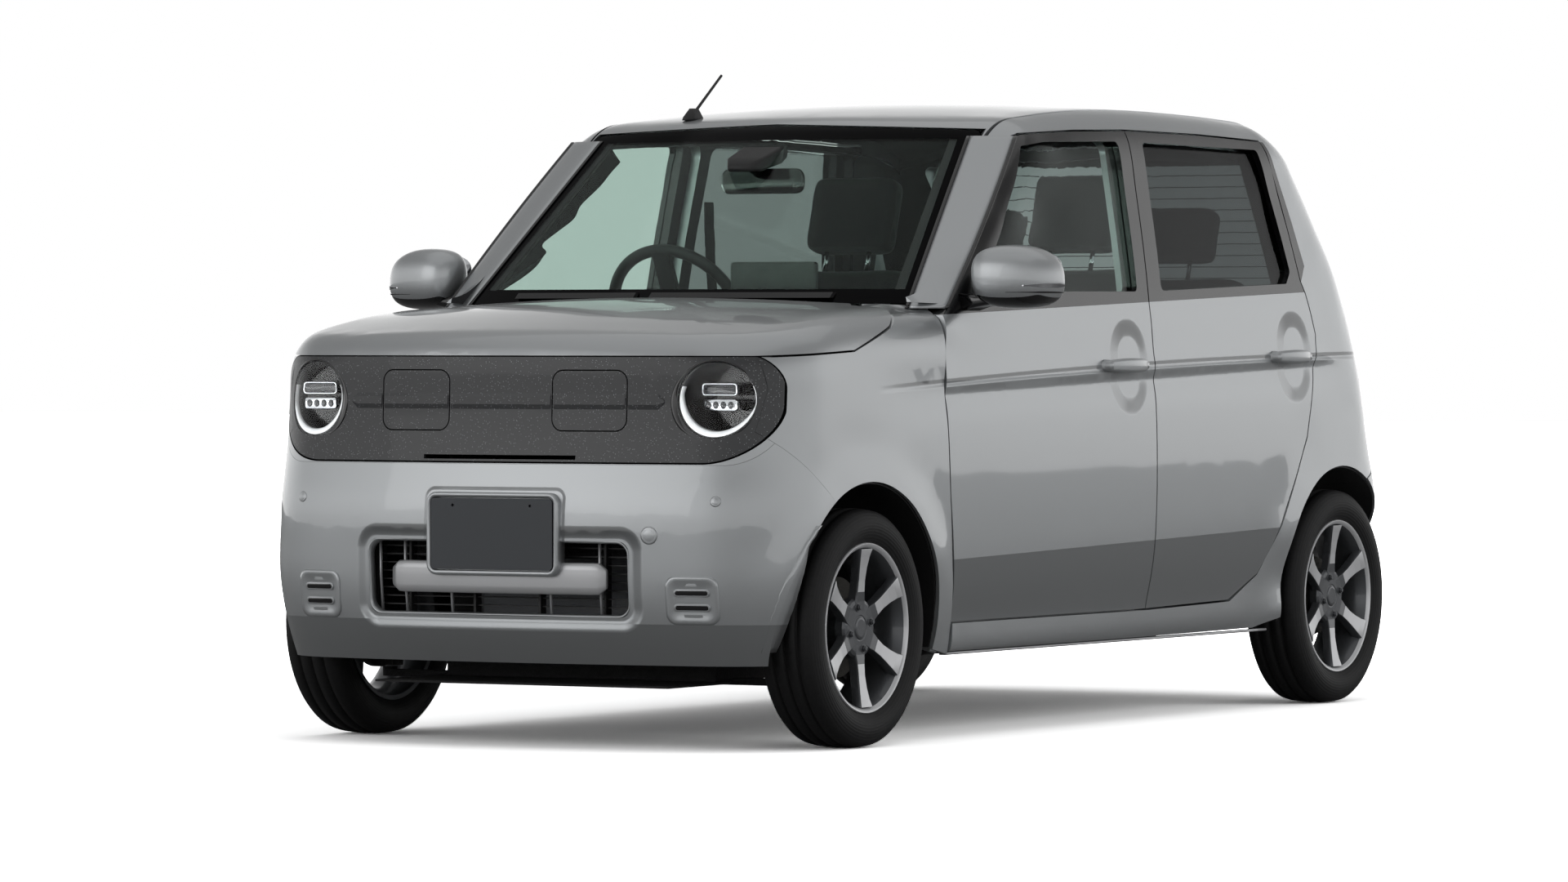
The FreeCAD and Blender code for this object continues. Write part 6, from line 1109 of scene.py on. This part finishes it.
LEAN = math.radians(17)
UP_BACK = Vector((0, math.sin(LEAN), math.cos(LEAN)))
TURN_BACK = Matrix.Rotation(-LEAN, 4, "X") @ Matrix.Rotation(math.pi / 2, 4, "X")
HEAD_GAP = 0.040
for row, node, spread, width, rear_y, top_z, head in (
        ("front", "front_seats", 0.325, 0.470, 0.3025, 0.615, 0.205),
        ("rear", "rear_seat", 0.285, 0.550, 0.9325, 0.600, 0.147)):
    low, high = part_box(node)
    foot_z = top_z - 0.096
    back = (high.z - foot_z) / math.cos(LEAN) - 0.010 - head - HEAD_GAP
    for side, hand in SIDES:
        x = side * spread
        foot = Vector((x, rear_y + 0.060, foot_z))
        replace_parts(pad("cushion_%s_%s" % (row, hand), (width, 0.500, 0.120), 0.010, (-0.125, 0.125),
                        Matrix.Translation((x, rear_y - 0.250, top_z - 0.060))), node)
        for part, wide, tall, thick, rise, seams in (
                ("back", width * 0.96, back, 0.105, back / 2, (-0.120, 0.120)),
                ("head", 0.250, head, 0.090, back + HEAD_GAP + head / 2, ())):
            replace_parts(pad("%s_%s_%s" % (part, row, hand), (wide, tall, thick), 0.006, seams,
                            Matrix.Translation(foot + UP_BACK * rise) @ TURN_BACK), node)
        for k in (-1, 1):
            base = foot + Vector((k * 0.062, 0, 0)) + UP_BACK * (back - 0.02)
            lofted("head_post_%s_%s_%d" % (row, hand, k), [
                [base + UP_BACK * rise + Vector((0.006 * a, 0.006 * b, 0)) for a, b in circle(12)]
                for rise in (0.0, 0.08)], "root", "satin_silver", chrome)
        lofted("seat_frame_%s_%s" % (row, hand), [
            [(x + a, rear_y - 0.270 + b, z) for a, b in rounded_loop(width * 0.78, 0.380, 0.020, 4)]
            for z in (low.z + 0.001, top_z - 0.124)], "root", "black_plastic", seat_shell, smooth=False)

# Seat belts: dark polyester webbing from each centre pillar down to its seat.
webbing = grained("woven_polyester_webbing", "#1A1B1C", 0.85, 1.1, 0.6, sheen=0.3, vary=0.2)
BELT_ROUTE = ((0.600, 0.318, 1.300), (0.598, 0.322, 1.150), (0.590, 0.335, 0.950), (0.585, 0.345, 0.700),
              (0.585, 0.345, 0.420))
for side, hand in SIDES:
    loops = [[(side * (x + a), y + b, z) for a, b in ((-0.001, -0.023), (0.001, -0.023), (0.001, 0.023),
                                                      (-0.001, 0.023))] for x, y, z in BELT_ROUTE]
    lofted("belt_" + hand, loops, "root", "seat_fabric", webbing, smooth=False)

# Dashboard: grained dark moulding, with a hood over the meters and a centre screen.
dash_skin = grained("grained_dash_polypropylene", "#1C1D1F", 0.68, 1.6, 0.45, vary=0.18)
dress(dash_skin, "dashboard")
low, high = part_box("dashboard")
dash_top = skin_of("dashboard")


def dash_z(x, y):
    """How high the dashboard stands at a place."""
    found = hit(dash_top, (x, y, 2), (0, 0, -1))
    return found.z if found is not None else high.z


METER_Y = -0.500
SCREEN_X = 0.02
SCREEN_Y = -0.430
loops = []
for i in range(13):
    x = -0.330 - 0.150 + 0.300 * i / 12
    arch = 0.050 * math.sin(math.pi * min(1, max(0, 0.08 + 0.84 * i / 12))) ** 0.6
    z = dash_z(x, METER_Y)
    loops.append([(x, METER_Y + dy, z + dz) for dy, dz in (
        (-0.070, -0.010), (-0.060, arch * 0.55), (-0.020, arch * 0.95), (0.040, arch), (0.046, arch - 0.006),
        (0.030, arch * 0.4 - 0.01), (0.0, -0.014))])
lofted("meter_hood", loops, "root", "dash_plastic", dash_skin)
screen_z = dash_z(SCREEN_X, SCREEN_Y) + 0.052
for part, (w, h, r, d0, d1, made) in enumerate(((0.240, 0.150, 0.010, 0.0, 0.014, gloss_black),
                                                (0.226, 0.130, 0.004, 0.0135, 0.0146, lens_grey))):
    lofted("centre_screen_%d" % part,
           face_loops(SCREEN_X, screen_z, level_face(SCREEN_Y), ((w, h, r, d0), (w, h, r, d1)), 4),
           "root", "dash_plastic", made, smooth=False)

# Steering wheel: leather over its rim and spokes, with a fine pore grain.
dress(grained("black_steering_leather", "#17171A", 0.55, 1.8, 0.5, sheen=0.1, vary=0.2), "steering_wheel")

# Camera housing behind the windscreen's top edge, and the inner mirror under it.
loops = [[(a, -0.565 + 0.150 * t, 1.366 + 0.042 * t + b) for a, b in rounded_loop(w, h, 0.008, 4)]
         for t, w, h in ((0.0, 0.060, 0.018), (0.25, 0.105, 0.034), (0.8, 0.115, 0.044), (1.0, 0.105, 0.036))]
lofted("camera_housing", loops, "root", "black_plastic", black_plastic)
rows = [(0.230 * s, 0.062 * s, 0.024 * s, d) for s, d in ((0.90, 0.0), (1.0, 0.006), (1.0, 0.018), (0.96, 0.022))]
lofted("inner_mirror", face_loops(0, 1.335, level_face(-0.455), rows), "root", "black_plastic", gloss_black)
